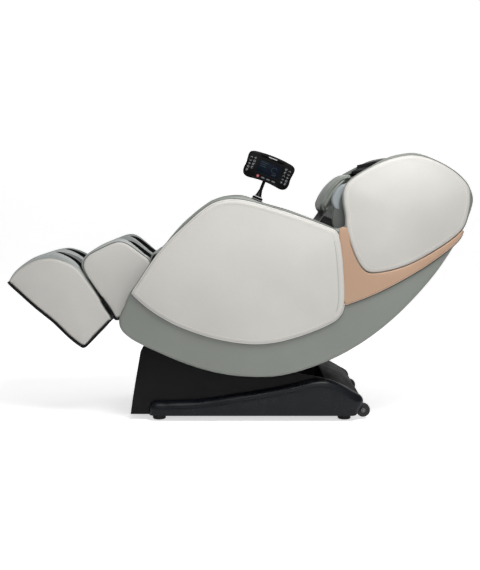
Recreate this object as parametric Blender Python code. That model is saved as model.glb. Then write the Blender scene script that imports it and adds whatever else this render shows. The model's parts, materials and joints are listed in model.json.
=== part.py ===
"""Zero-gravity massage chair: Blender 4.5 script, metres, +Z up.

The sitter faces -X, the head end is at +X, the sitter's left is -Y, and Z = 0 is the floor.
The chair is drawn leaned back, as it rests in use.  The body hinges on the base,
the leg rest hinges under the knees, and the foot unit slides out along the shins.
"""
import math

import bmesh
import bpy
from mathutils import Matrix, Vector

# ---------------------------------------------------------------- driving dimensions
LENGTH = 1.649              # toe tip to the rear of the shell
WIDTH = 0.720               # over the two arm panels
GAP = 0.0003                # clearance between touching pieces
FLOOR_GAP = 0.020           # height of the rubber feet

RECLINE_PIVOT = (-0.0575, 0.204)
KNEE_PIVOT = (-0.2725, 0.530)
LEG_SLOPE = math.radians(32.0)          # leg rest below the horizontal
BACK_SLOPE = math.radians(54.5)         # back rest above the horizontal
BACK_FOOT = (0.170, 0.500)              # lower end of the back cushion's face
BACK_LENGTH = 0.448

ARM_OUTER = WIDTH / 2                   # outer face of the arm panels
SHELL_INNER = 0.300                     # inner face of the side shells
SHELL_OUTER = 0.330
POD_OUTER = 0.350
SEAT_HALF = 0.244
PAD_INNER = 0.2503                      # inner face of the arm pads
PAD_OUTER = 0.2997
UNIT_INNER = 0.2203                     # side panels of the calf and foot units
UNIT_OUTER = 0.238
WELL_INNER = 0.015                      # half of the divider between two wells
WELL_OUTER = 0.200
BEAM_IN = 0.222                         # side beams of the seat frame
BEAM_OUT = 0.240
BEAM_HALF = 0.016
HINGE_RADIUS = 0.010
PIN_RADIUS = 0.006
PIN_CLEARANCE = 0.0007                  # radial gap of a pin in its hole

WHEEL_CENTRE = (0.4565, 0.034)
WHEEL_RADIUS = 0.025

RECLINE_ANCHOR = (0.200, 0.110)
RECLINE_LUG = (-0.0575, 0.304)
KNEE_ANCHOR = (0.020, 0.410)
KNEE_LUG = (-0.3326, 0.4699)

TABLET_CENTRE = (0.127, 0.900)
TABLET_SLOPE = math.radians(21.5)       # the tablet leans back with the body
TABLET_FRONT = 0.290
TABLET_BACK = 0.308
STAND_Y = 0.320
BUTTON_TRAVEL = 0.001

Y_AXIS = Vector((0.0, 1.0, 0.0))
ORIGIN = Vector((0.0, 0.0, 0.0))


# ---------------------------------------------------------------- scene and materials
def clear_scene():
    for old in list(bpy.data.objects):
        bpy.data.objects.remove(old, do_unlink=True)


def make_material(name, colour, roughness, metallic=0.0):
    material = bpy.data.materials.new(name)
    material.use_nodes = True
    shader = material.node_tree.nodes["Principled BSDF"]
    shader.inputs["Base Color"].default_value = (*colour, 1.0)
    shader.inputs["Roughness"].default_value = roughness
    shader.inputs["Metallic"].default_value = metallic
    return material


def make_palette():
    return {
        "white_leather": make_material("white_leather", (0.66, 0.65, 0.62), 0.45),
        "grey_shell": make_material("grey_shell", (0.25, 0.27, 0.25), 0.40),
        "bronze_trim": make_material("bronze_trim", (0.43, 0.29, 0.20), 0.35, 0.3),
        "black_plastic": make_material("black_plastic", (0.012, 0.012, 0.014), 0.40),
        "black_fabric": make_material("black_fabric", (0.010, 0.010, 0.011), 0.85),
        "grey_fabric": make_material("grey_fabric", (0.17, 0.18, 0.17), 0.75),
        "dark_steel": make_material("dark_steel", (0.045, 0.046, 0.050), 0.50, 0.4),
        "bright_steel": make_material("bright_steel", (0.60, 0.60, 0.60), 0.25, 1.0),
        "rubber": make_material("rubber", (0.015, 0.015, 0.015), 0.80),
        "roller_plastic": make_material("roller_plastic", (0.50, 0.22, 0.06), 0.50),
        "gloss_black": make_material("gloss_black", (0.006, 0.006, 0.008), 0.08),
        "screen_glass": make_material("screen_glass", (0.010, 0.020, 0.060), 0.05),
        "red_plastic": make_material("red_plastic", (0.50, 0.020, 0.025), 0.30),
        "grey_plastic": make_material("grey_plastic", (0.30, 0.31, 0.32), 0.35),
    }


# ---------------------------------------------------------------- outlines
def spline(points, spacing=0.048):
    """Centripetal Catmull-Rom curve through the points, ends included."""
    first = Vector(points[0]) * 2 - Vector(points[1])
    last = Vector(points[-1]) * 2 - Vector(points[-2])
    knots = [first] + [Vector(p) for p in points] + [last]
    result = []
    for i in range(1, len(knots) - 2):
        p0, p1, p2, p3 = knots[i - 1:i + 3]
        t1 = (p1 - p0).length ** 0.5
        t2 = t1 + (p2 - p1).length ** 0.5
        t3 = t2 + (p3 - p2).length ** 0.5
        steps = max(1, round((p2 - p1).length / spacing))
        for k in range(steps):
            t = t1 + (t2 - t1) * k / steps
            a1 = p0 * ((t1 - t) / t1) + p1 * (t / t1)
            a2 = p1 * ((t2 - t) / (t2 - t1)) + p2 * ((t - t1) / (t2 - t1))
            a3 = p2 * ((t3 - t) / (t3 - t2)) + p3 * ((t - t2) / (t3 - t2))
            b1 = a1 * ((t2 - t) / t2) + a2 * (t / t2)
            b2 = a2 * ((t3 - t) / (t3 - t1)) + a3 * ((t - t1) / (t3 - t1))
            c = b1 * ((t2 - t) / (t2 - t1)) + b2 * ((t - t1) / (t2 - t1))
            result.append((c.x, c.y))
    result.append(tuple(points[-1]))
    return result


def loop_of(*curves):
    """Join curves end to end into one closed outline, counter-clockwise."""
    outline = []
    for curve in curves:
        for point in curve:
            if not outline or math.dist(point, outline[-1]) > 1e-5:
                outline.append(point)
    if math.dist(outline[0], outline[-1]) < 1e-5:
        outline.pop()
    twice_area = sum(a[0] * b[1] - b[0] * a[1] for a, b in zip(outline, outline[1:] + outline[:1]))
    if twice_area < 0:
        outline.reverse()
    return outline


def offset_loop(outline, distance):
    """Move a closed counter-clockwise outline inwards by a distance."""
    count = len(outline)
    result = []
    for i, point in enumerate(outline):
        before = Vector(outline[i - 1])
        here = Vector(point)
        after = Vector(outline[(i + 1) % count])
        one = (here - before).normalized()
        two = (after - here).normalized()
        normal = Vector((-one.y - two.y, one.x + two.x)).normalized()
        stretch = max(0.5, normal.dot(Vector((-one.y, one.x))))
        result.append(tuple(here + normal * (distance / stretch)))
    return result


def circle(centre, radius, sides=16):
    return [(centre[0] + radius * math.cos(2 * math.pi * i / sides),
             centre[1] + radius * math.sin(2 * math.pi * i / sides)) for i in range(sides)]


def rounded_box(x0, z0, x1, z1, radius, steps=3):
    corners = [(x1 - radius, z0 + radius, -90), (x1 - radius, z1 - radius, 0),
               (x0 + radius, z1 - radius, 90), (x0 + radius, z0 + radius, 180)]
    outline = []
    for cx, cz, start in corners:
        for k in range(steps + 1):
            angle = math.radians(start + 90 * k / steps)
            outline.append((cx + radius * math.cos(angle), cz + radius * math.sin(angle)))
    return outline


def strip(start, end, half, round_start=False, round_end=False, steps=4):
    """Outline of a straight bar between two points, optionally with round ends."""
    start, end = Vector(start), Vector(end)
    along = (end - start).normalized()
    side = Vector((-along.y, along.x)) * half
    base = math.atan2(along.y, along.x)
    outline = []
    if round_end:
        for k in range(steps + 1):
            angle = base - math.pi / 2 + math.pi * k / steps
            outline.append(tuple(end + Vector((math.cos(angle), math.sin(angle))) * half))
    else:
        outline += [tuple(end - side), tuple(end + side)]
    if round_start:
        for k in range(steps + 1):
            angle = base + math.pi / 2 + math.pi * k / steps
            outline.append(tuple(start + Vector((math.cos(angle), math.sin(angle))) * half))
    else:
        outline += [tuple(start + side), tuple(start - side)]
    return outline


# ---------------------------------------------------------------- solids
def finish(name, mesh_data, material, origin=ORIGIN):
    """Make the object, with its origin at the given point and smooth shading."""
    bmesh.ops.recalc_face_normals(mesh_data, faces=mesh_data.faces)
    bmesh.ops.translate(mesh_data, verts=mesh_data.verts, vec=-Vector(origin))
    mesh = bpy.data.meshes.new(name)
    mesh_data.to_mesh(mesh)
    mesh_data.free()
    mesh.materials.append(material)
    mesh.shade_smooth()
    mesh.set_sharp_from_angle(angle=math.radians(32.0))
    piece = bpy.data.objects.new(name, mesh)
    piece.location = origin
    bpy.context.scene.collection.objects.link(piece)
    return piece


def loft(rings):
    """Solid through rings of the same point count."""
    data = bmesh.new()
    levels = [[data.verts.new(point) for point in ring] for ring in rings]
    count = len(levels[0])
    for low, high in zip(levels, levels[1:]):
        for i in range(count):
            j = (i + 1) % count
            data.faces.new((low[i], low[j], high[j], high[i]))
    data.faces.new(levels[0][::-1])
    data.faces.new(levels[-1])
    return data


def prism(outline, y0, y1):
    """Solid with an XZ outline between two Y planes."""
    return loft([[(x, y, z) for x, z in outline] for y in (y0, y1)])


def chamfered(outline, y_in, y_out, chamfer, steps=2):
    """Like prism, with the edge at y_out rounded over by the chamfer."""
    sign = 1.0 if y_out > y_in else -1.0
    rings = [[(x, y_in, z) for x, z in outline]]
    for k in range(steps + 1):
        angle = 0.5 * math.pi * k / steps
        inset = offset_loop(outline, chamfer * (1 - math.cos(angle)))
        level = y_out - sign * chamfer * (1 - math.sin(angle))
        rings.append([(x, level, z) for x, z in inset])
    return loft(rings)


def frame_prism(outline, origin, u_axis, v_axis, w_axis, w0, w1):
    """Solid with an outline in a turned plane, pulled along the third axis."""
    origin = Vector(origin)
    return loft([[origin + u_axis * u + v_axis * v + w_axis * w for u, v in outline] for w in (w0, w1)])


def turned(start, along, profile, sides=12):
    """Solid of revolution about a line; profile is (distance along, radius)."""
    start = Vector(start)
    along = Vector(along).normalized()
    side = along.orthogonal().normalized()
    if abs(along.y) < 0.5:
        side = Y_AXIS.copy()
    other = along.cross(side)
    data = bmesh.new()
    rings = []
    for distance, radius in profile:
        centre = start + along * distance
        if radius < 1e-6:
            rings.append([data.verts.new(centre)])
            continue
        ring = []
        for i in range(sides):
            angle = 2 * math.pi * i / sides
            ring.append(data.verts.new(centre + (side * math.cos(angle) + other * math.sin(angle)) * radius))
        rings.append(ring)
    for low, high in zip(rings, rings[1:]):
        for i in range(sides):
            j = (i + 1) % sides
            corners = [low[i % len(low)], low[j % len(low)], high[j % len(high)], high[i % len(high)]]
            unique = [v for n, v in enumerate(corners) if v not in corners[:n]]
            data.faces.new(unique)
    if len(rings[0]) > 1 and len(rings[-1]) > 1:
        for i in range(sides):
            j = (i + 1) % sides
            data.faces.new((rings[-1][i], rings[-1][j], rings[0][j], rings[0][i]))
    return data


def combine(piece, shapes, operation="UNION"):
    """Join or cut a piece with other solids, one exact Boolean at a time."""
    for shape in shapes:
        helper = finish("helper", shape, piece.data.materials[0])
        modifier = piece.modifiers.new("join", "BOOLEAN")
        modifier.operation = operation
        modifier.solver = "EXACT"
        modifier.object = helper
        graph = bpy.context.evaluated_depsgraph_get()
        result = bpy.data.meshes.new_from_object(piece.evaluated_get(graph))
        piece.modifiers.remove(modifier)
        bpy.data.objects.remove(helper, do_unlink=True)
        result.name = piece.name
        piece.data = result
    piece.data.shade_smooth()
    piece.data.set_sharp_from_angle(angle=math.radians(32.0))
    return piece


def cut(piece, shapes):
    return combine(piece, shapes, "DIFFERENCE")


def hang(child, parent):
    """Parent a piece without moving it; every parent here is only translated."""
    child.parent = parent
    child.matrix_parent_inverse = Matrix.Translation(-parent.location)


def flat(point, y=0.0):
    return Vector((point[0], y, point[1]))


# ---------------------------------------------------------------- directions
LEG_OUT = Vector((-math.cos(LEG_SLOPE), 0.0, -math.sin(LEG_SLOPE)))
LEG_UP = Vector((-math.sin(LEG_SLOPE), 0.0, math.cos(LEG_SLOPE)))
BACK_UP = Vector((math.cos(BACK_SLOPE), 0.0, math.sin(BACK_SLOPE)))
BACK_FRONT = Vector((-math.sin(BACK_SLOPE), 0.0, math.cos(BACK_SLOPE)))
TABLET_RIGHT = Vector((math.cos(TABLET_SLOPE), 0.0, -math.sin(TABLET_SLOPE)))
TABLET_UP = Vector((math.sin(TABLET_SLOPE), 0.0, math.cos(TABLET_SLOPE)))


def leg_point(out, up):
    """Point of the leg rest: distance from the knee pivot along and above the shin line."""
    spot = flat(KNEE_PIVOT) + LEG_OUT * out + LEG_UP * up
    return (spot.x, spot.z)


def back_point(up, behind):
    """Point of the back: distance up the back cushion's face and behind it."""
    spot = flat(BACK_FOOT) + BACK_UP * up - BACK_FRONT * behind
    return (spot.x, spot.z)


# ---------------------------------------------------------------- body outlines
def arm_top_curve():
    return spline([(-0.367, 0.464), (-0.262, 0.614), (-0.168, 0.708), (-0.080, 0.776), (-0.005, 0.790),
                   (0.098, 0.768), (0.254, 0.718), (0.3445, 0.683)])


def arm_panel_outline():
    rear = spline([(0.3445, 0.683), (0.3585, 0.659), (0.3695, 0.600), (0.3785, 0.443), (0.3715, 0.401),
                   (0.3545, 0.376), (0.256, 0.327), (0.100, 0.288), (-0.057, 0.302), (-0.214, 0.355),
                   (-0.312, 0.415), (-0.367, 0.464)])
    return loop_of(arm_top_curve(), rear)


def shell_rim_curve():
    """Lower front, belly, back and top of the side shell, as one curve."""
    points = [(-0.3735, 0.466), (-0.394, 0.420), (-0.409, 0.388), (-0.4135, 0.363), (-0.406, 0.334),
              (-0.3735, 0.303), (-0.2685, 0.250), (-0.1635, 0.207), (-0.0585, 0.178), (0.0475, 0.166),
              (0.1535, 0.170), (0.2595, 0.198), (0.3645, 0.242), (0.4695, 0.306), (0.5735, 0.393),
              (0.6765, 0.506), (0.7275, 0.576), (0.7775, 0.660), (0.8150, 0.746), (0.8245, 0.793),
              (0.8115, 0.834), (0.7785, 0.876), (0.7365, 0.906), (0.6945, 0.928), (0.6525, 0.945),
              (0.6115, 0.953), (0.5285, 0.938), (0.4605, 0.902), (0.410, 0.868), (0.380, 0.835)]
    return [(min(x, LENGTH / 2), z) for x, z in spline(points, 0.055)]


def side_shell_outline():
    throat = spline([(0.380, 0.835), (0.374, 0.800), (0.380, 0.755), (0.386, 0.722)])
    notch = [(0.384, 0.7005), (0.352, 0.6905)]
    top = spline([(0.352, 0.6905), (0.3075, 0.707), (0.2035, 0.745), (0.1065, 0.773), (0.0295, 0.801),
                  (-0.0115, 0.804), (-0.0775, 0.792), (-0.1885, 0.707), (-0.2555, 0.627), (-0.3155, 0.543),
                  (-0.3735, 0.466)])
    return loop_of(shell_rim_curve(), throat, notch, top)


def accent_outline():
    neck = [(0.3640, 0.690), (0.3805, 0.690)]
    under_pod = spline([(0.3805, 0.690), (0.4020, 0.6225), (0.4240, 0.5730), (0.4430, 0.5465),
                        (0.4640, 0.5355), (0.5205, 0.5400), (0.5760, 0.5545), (0.6225, 0.5735),
                        (0.6740, 0.6018), (0.7250, 0.6338), (0.7615, 0.6612), (0.7890, 0.6875)])
    lower = spline([(0.7890, 0.6875), (0.7800, 0.6620), (0.7600, 0.6375), (0.7019, 0.5905),
                    (0.6425, 0.5495), (0.5829, 0.5145), (0.5231, 0.4825), (0.4632, 0.4545),
                    (0.4200, 0.4380), (0.4000, 0.4310), (0.3815, 0.4320)])
    front = spline([(0.3815, 0.431), (0.3765, 0.527), (0.3725, 0.600), (0.3640, 0.662), (0.3640, 0.690)])
    return loop_of(neck, under_pod, lower, front)


def pod_outline():
    return loop_of(spline([(0.3835, 0.693), (0.4045, 0.624), (0.4265, 0.575), (0.4450, 0.549),
                           (0.4650, 0.5385), (0.5200, 0.5430), (0.5750, 0.5575), (0.6212, 0.5765),
                           (0.6725, 0.6045), (0.7235, 0.6365), (0.7600, 0.6640), (0.7880, 0.6930),
                           (0.8070, 0.7540), (0.8105, 0.7920), (0.8065, 0.8310), (0.7715, 0.873),
                           (0.7185, 0.909),
                           (0.6665, 0.932), (0.6145, 0.943), (0.5705, 0.939), (0.5115, 0.922),
                           (0.4605, 0.898),
                           (0.4095, 0.867), (0.3815, 0.842), (0.3730, 0.815), (0.3755, 0.769),
                           (0.3825, 0.740),
                           (0.3835, 0.693)]))


# ---------------------------------------------------------------- base
def base_pieces(palette):
    """Fixed undercarriage: frame, four covers, rubber feet and two transport wheels."""
    pieces = {}
    steel = palette["dark_steel"]
    plastic = palette["black_plastic"]
    rail_low, rail_high = 0.0215, 0.055
    rail_in, rail_out = 0.195, 0.225
    frame = finish("base_frame", prism([(-0.360, rail_low), (0.425, rail_low), (0.425, rail_high),
                                        (-0.360, rail_high)], rail_in, rail_out), steel)
    shapes = [prism([(-0.360, rail_low), (0.425, rail_low), (0.425, rail_high), (-0.360, rail_high)],
                    -rail_out, -rail_in)]
    for x in (-0.345, 0.240, 0.400):
        shapes.append(prism([(x - 0.015, 0.025), (x + 0.015, 0.025), (x + 0.015, 0.052),
                             (x - 0.015, 0.052)],
                            -rail_in - 0.005, rail_in + 0.005))
    for side in (-1, 1):
        # pivot tower with its stub pin
        tower = [(-0.135, 0.045), (0.020, 0.045)] + [
            (RECLINE_PIVOT[0] + 0.022 * math.cos(math.radians(a)),
             RECLINE_PIVOT[1] + 0.022 * math.sin(math.radians(a))) for a in (0, 45, 90, 135, 180)]
        shapes.append(prism(tower, side * 0.198, side * 0.216))
        shapes.append(turned(flat(RECLINE_PIVOT, side * 0.205), (0, side, 0),
                             [(0, 0), (0, HINGE_RADIUS), (0.0345, HINGE_RADIUS), (0.0345, 0)]))
        # wheel bracket with its stub axle
        shapes.append(prism(strip((0.410, 0.038), WHEEL_CENTRE, 0.012, round_end=True),
                            side * 0.205, side * 0.224))
        shapes.append(turned(flat(WHEEL_CENTRE, side * 0.215), (0, side, 0),
                             [(0, 0), (0, PIN_RADIUS), (0.048, PIN_RADIUS), (0.048, 0)], 12))
        # fork of the recline actuator
        shapes.append(prism(strip((0.242, 0.045), RECLINE_ANCHOR, 0.012, round_end=True),
                            side * 0.020, side * 0.026))
    shapes.append(turned(flat(RECLINE_ANCHOR, -0.024), (0, 1, 0),
                         [(0, 0), (0, PIN_RADIUS), (0.048, PIN_RADIUS), (0.048, 0)], 12))
    pieces["base_frame"] = combine(frame, shapes)

    # one tall cover: closed front, a short top, and side walls running back to the deck
    low = FLOOR_GAP + GAP
    front_edge = [(-0.3815, low), (-0.3745, 0.071), (-0.3625, 0.143), (-0.3515, 0.205), (-0.3440, 0.248)]
    crown = spline([(-0.3440, 0.248), (-0.336, 0.264), (-0.318, 0.270), (-0.262, 0.262)], 0.014)
    wall_top = spline([(-0.262, 0.262), (-0.150, 0.228), (0.000, 0.196), (0.150, 0.180), (0.312, 0.152)])
    tower_line = loop_of(front_edge, crown, wall_top, [(0.312, low)])
    inner = [(-0.3740, 0.0), (-0.3560, 0.140), (-0.3380, 0.242), (-0.328, 0.256), (-0.262, 0.248),
             (-0.240, 0.40),
             (0.400, 0.40), (0.400, 0.0)]
    tower = finish("base_front_cover", prism(tower_line, -0.262, 0.262), plastic)
    pieces["base_front_cover"] = cut(tower, [prism(inner, -0.256, 0.256)])

    # the fender sweeps up from a small hook at the front to its peak over the rear foot
    sweep = spline([(-0.3150, low), (-0.3130, 0.052), (-0.3010, 0.067), (-0.2555, 0.070),
                    (-0.1305, 0.076), (0.0125, 0.098), (0.1195, 0.116), (0.2225, 0.138), (0.2765, 0.151),
                    (0.3155, 0.153), (0.3445, 0.145), (0.3765, 0.131), (0.4155, 0.109), (0.4480, 0.088),
                    (0.4555, 0.069), (0.4455, 0.044), (0.4235, low)])
    fender = loop_of(sweep)
    for side, tag in ((-1, "left"), (1, "right")):
        data = chamfered(fender, side * 0.2655, side * 0.295, 0.010)
        pieces["base_side_cover_" + tag] = finish("base_side_cover_" + tag, data, plastic)

    deck = loop_of(spline([(0.3150, 0.150), (0.3445, 0.143), (0.3765, 0.130), (0.4155, 0.109),
                           (0.4440, 0.088)]),
                   [(0.4480, 0.066), (0.3150, 0.066)])
    rear = finish("base_rear_cover", prism(deck, -0.262, 0.262), plastic)
    hollow = [(0.3000, 0.050), (0.4420, 0.050), (0.4380, 0.084), (0.4130, 0.103), (0.3740, 0.124),
              (0.3420, 0.137),
              (0.3000, 0.147)]
    pieces["base_rear_cover"] = cut(rear, [prism(hollow, -0.256, 0.256)])

    for end, x in (("front", -0.2795), ("rear", 0.3895)):
        for side, tag in ((-1, "left"), (1, "right")):
            name = "foot_pad_" + end + "_" + tag
            profile = [(0, 0), (0, 0.021), (0.004, 0.024), (FLOOR_GAP, 0.022), (FLOOR_GAP, 0)]
            data = turned((x, side * 0.240, 0.0), (0, 0, 1), profile, 16)
            pieces[name] = finish(name, data, palette["rubber"])

    for side, tag in ((-1, "left"), (1, "right")):
        name = "transport_wheel_" + tag
        bore = PIN_RADIUS + PIN_CLEARANCE
        profile = [(0.0, bore), (0.0, 0.011), (0.002, 0.013), (0.002, 0.021), (0.005, WHEEL_RADIUS),
                   (0.020, WHEEL_RADIUS), (0.023, 0.021), (0.023, 0.013), (0.025, 0.011), (0.025, bore)]
        data = turned(flat(WHEEL_CENTRE, side * 0.2370), (0, side, 0), profile, 20)
        pieces[name] = finish(name, data, palette["rubber"], flat(WHEEL_CENTRE, side * 0.2495))
    return pieces


# ---------------------------------------------------------------- seat frame
def seat_frame_piece(palette):
    """Welded body frame: side beams, cross tubes, actuator lugs and the back rails."""
    hip = (0.140, 0.375)
    heel = back_point(-0.0633, 0.125)
    top = back_point(0.470, 0.125)
    frame = None
    shapes = []
    for side in (-1, 1):
        y0, y1 = side * BEAM_IN, side * BEAM_OUT
        shapes += [prism(strip(KNEE_PIVOT, hip, BEAM_HALF, round_start=True, round_end=True), y0, y1),
                   prism(strip(RECLINE_PIVOT, hip, 0.018, round_start=True, round_end=True), y0, y1),
                   prism(strip(hip, heel, BEAM_HALF, round_start=True, round_end=True), y0, y1),
                   prism(strip(heel, top, BEAM_HALF, round_start=True, round_end=True), y0, y1)]
    for centre, radius in (((0.055, 0.392), 0.012), ((0.040, 0.288), 0.012), (heel, 0.012), (top, 0.012)):
        shapes.append(turned(flat(centre, -0.230), (0, 1, 0),
                             [(0, 0), (0, radius), (0.460, radius), (0.460, 0)], 12))
    for side in (-1, 1):
        shapes.append(prism(strip((0.055, 0.392), KNEE_ANCHOR, 0.010, round_end=True), side * 0.020,
                            side * 0.026))
        shapes.append(prism(strip((0.040, 0.288), RECLINE_LUG, 0.011, round_end=True), side * 0.014,
                            side * 0.020))
    shapes.append(turned(flat(KNEE_ANCHOR, -0.024), (0, 1, 0),
                         [(0, 0), (0, PIN_RADIUS), (0.048, PIN_RADIUS), (0.048, 0)], 12))
    shapes.append(turned(flat(RECLINE_LUG, -0.018), (0, 1, 0),
                         [(0, 0), (0, PIN_RADIUS), (0.036, PIN_RADIUS), (0.036, 0)], 12))
    frame = finish("seat_frame", shapes.pop(0), palette["dark_steel"], flat(RECLINE_PIVOT))
    frame = combine(frame, shapes)
    holes = []
    for centre in (KNEE_PIVOT, RECLINE_PIVOT):
        for side in (-1, 1):
            holes.append(prism(circle(centre, HINGE_RADIUS + PIN_CLEARANCE), side * 0.218, side * 0.245))
    return cut(frame, holes)


# ---------------------------------------------------------------- body panels
def panel_pieces(palette):
    """Side shells, arm panels, bronze trims, head pods, arm pads and shoulder pads."""
    pieces = {}
    arm = arm_panel_outline()
    shell = side_shell_outline()
    accent = accent_outline()
    pod = pod_outline()
    pad_top = [(x, z - 0.009) for x,
               z in spline([(0.3300, 0.6985), (0.2035, 0.745), (0.1065, 0.773), (0.0295, 0.801),
                                                  (-0.0115, 0.804), (-0.0775, 0.792), (-0.1885, 0.707),
                                                  (-0.2555, 0.627), (-0.3155, 0.543), (-0.3560, 0.489)])]
    arm_pad = loop_of(pad_top, [(-0.3560, 0.480), (-0.3000, 0.430), (-0.0500, 0.400), (0.2900, 0.410),
                                (0.3300, 0.450), (0.3300, 0.6895)])
    shoulder = loop_of(spline([(0.3400, 0.705), (0.3410, 0.750), (0.3600, 0.798), (0.3900, 0.838),
                               (0.4300, 0.866)]),
                       spline([(0.4300, 0.866), (0.5200, 0.880), (0.6000, 0.830), (0.5700, 0.720),
                               (0.4800, 0.640), (0.3950, 0.615), (0.3400, 0.705)]))
    for side, tag in ((-1, "left"), (1, "right")):
        table = (("side_shell_", shell, SHELL_INNER, SHELL_OUTER, 0.006, "grey_shell"),
                 ("arm_panel_", arm, SHELL_OUTER + GAP, ARM_OUTER, 0.014, "white_leather"),
                 ("accent_panel_", accent, SHELL_OUTER + GAP, 0.344, 0.004, "bronze_trim"),
                 ("head_pod_", pod, SHELL_OUTER + GAP, POD_OUTER, 0.014, "white_leather"),
                 ("arm_pad_", arm_pad, PAD_OUTER, PAD_INNER, 0.012, "black_fabric"),
                 ("shoulder_pad_", shoulder, PAD_OUTER, 0.2425, 0.014, "grey_fabric"))
        for stem, outline, y_in, y_out, chamfer, slot in table:
            data = chamfered(outline, side * y_in, side * y_out, chamfer)
            pieces[stem + tag] = finish(stem + tag, data, palette[slot])
        # the bronze trim is trimmed back to an even seam along the arm panel and the pod
        seams = [prism(offset_loop(edge, -0.0015), side * 0.325, side * 0.365) for edge in (arm, pod)]
        cut(pieces["accent_panel_" + tag], seams)
    return pieces


def rear_shell_piece(palette):
    """Curved back cover between the side shells, open at the belly and at the head."""
    rim = [p for p in shell_rim_curve() if p[1] > 0.215 and p[0] > 0.300]
    rim = [p for p in rim if p[0] > 0.455 or p[1] < 0.80]
    normals = []
    for i, point in enumerate(rim):
        before = Vector(rim[max(0, i - 1)])
        after = Vector(rim[min(len(rim) - 1, i + 1)])
        along = (after - before).normalized()
        normals.append(Vector((-along.y, along.x)))
    outer = [tuple(Vector(p) + n * 0.005) for p, n in zip(rim, normals)]
    inner = [tuple(Vector(p) + n * 0.017) for p, n in zip(rim, normals)]
    outline = outer + inner[::-1]
    return finish("rear_shell", prism(outline, -0.2996, 0.2996), palette["grey_shell"])


# ---------------------------------------------------------------- cushions
def cushion_pieces(palette):
    """Seat cushion, back cushion and head pillow."""
    pieces = {}
    seat = loop_of(spline([(0.152, 0.492), (0.130, 0.512), (0.000, 0.546), (-0.120, 0.575), (-0.200, 0.594),
                           (-0.262, 0.606), (-0.280, 0.596), (-0.283, 0.575), (-0.268, 0.561),
                           (-0.235, 0.553),
                           (-0.200, 0.537), (-0.050, 0.480), (0.115, 0.452), (0.146, 0.466),
                           (0.152, 0.492)], 0.035))
    rings = [[(x, side * level, z) for x, z in offset_loop(seat, inset)]
             for side, level, inset in ((-1, SEAT_HALF, 0.012), (-1, SEAT_HALF - 0.012, 0.0),
                                        (1, SEAT_HALF - 0.012, 0.0), (1, SEAT_HALF, 0.012))]
    pieces["seat_cushion"] = finish("seat_cushion", loft(rings), palette["black_fabric"])

    # back cushion: a slab with round edges, drawn across its width and pulled up the back
    section = rounded_box(-0.228, -0.060, 0.228, 0.0, 0.024, 4)
    back = frame_prism(section, flat(BACK_FOOT), Y_AXIS, BACK_FRONT, BACK_UP, 0.006, BACK_LENGTH)
    pieces["back_cushion"] = finish("back_cushion", back, palette["black_fabric"])

    pillow = loop_of(spline([(0.3110, 0.7340), (0.2900, 0.7600), (0.2835, 0.7800), (0.2960, 0.8100),
                             (0.3145, 0.8390), (0.3548, 0.8730), (0.3950, 0.8860), (0.4160, 0.8800),
                             (0.4215, 0.8610)], 0.030),
                     [(0.4215, 0.8610), back_point(0.270, -0.0015)])
    rings = [[(x, y, z) for x, z in offset_loop(pillow, inset)]
             for y, inset in ((-0.165, 0.016), (-0.150, 0.003), (-0.130, 0.0), (0.130, 0.0), (0.150, 0.003),
                              (0.165, 0.016))]
    pieces["head_pillow"] = finish("head_pillow", loft(rings), palette["grey_fabric"])
    return pieces


# ---------------------------------------------------------------- massage mechanism
CARRIAGE_START = 0.085                  # up the back cushion's face
ROLLER_REACH = 0.045                    # rollers above and below the arm's pivot
ROLLER_BEHIND = 0.094                   # roller axis behind the cushion's face


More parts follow.
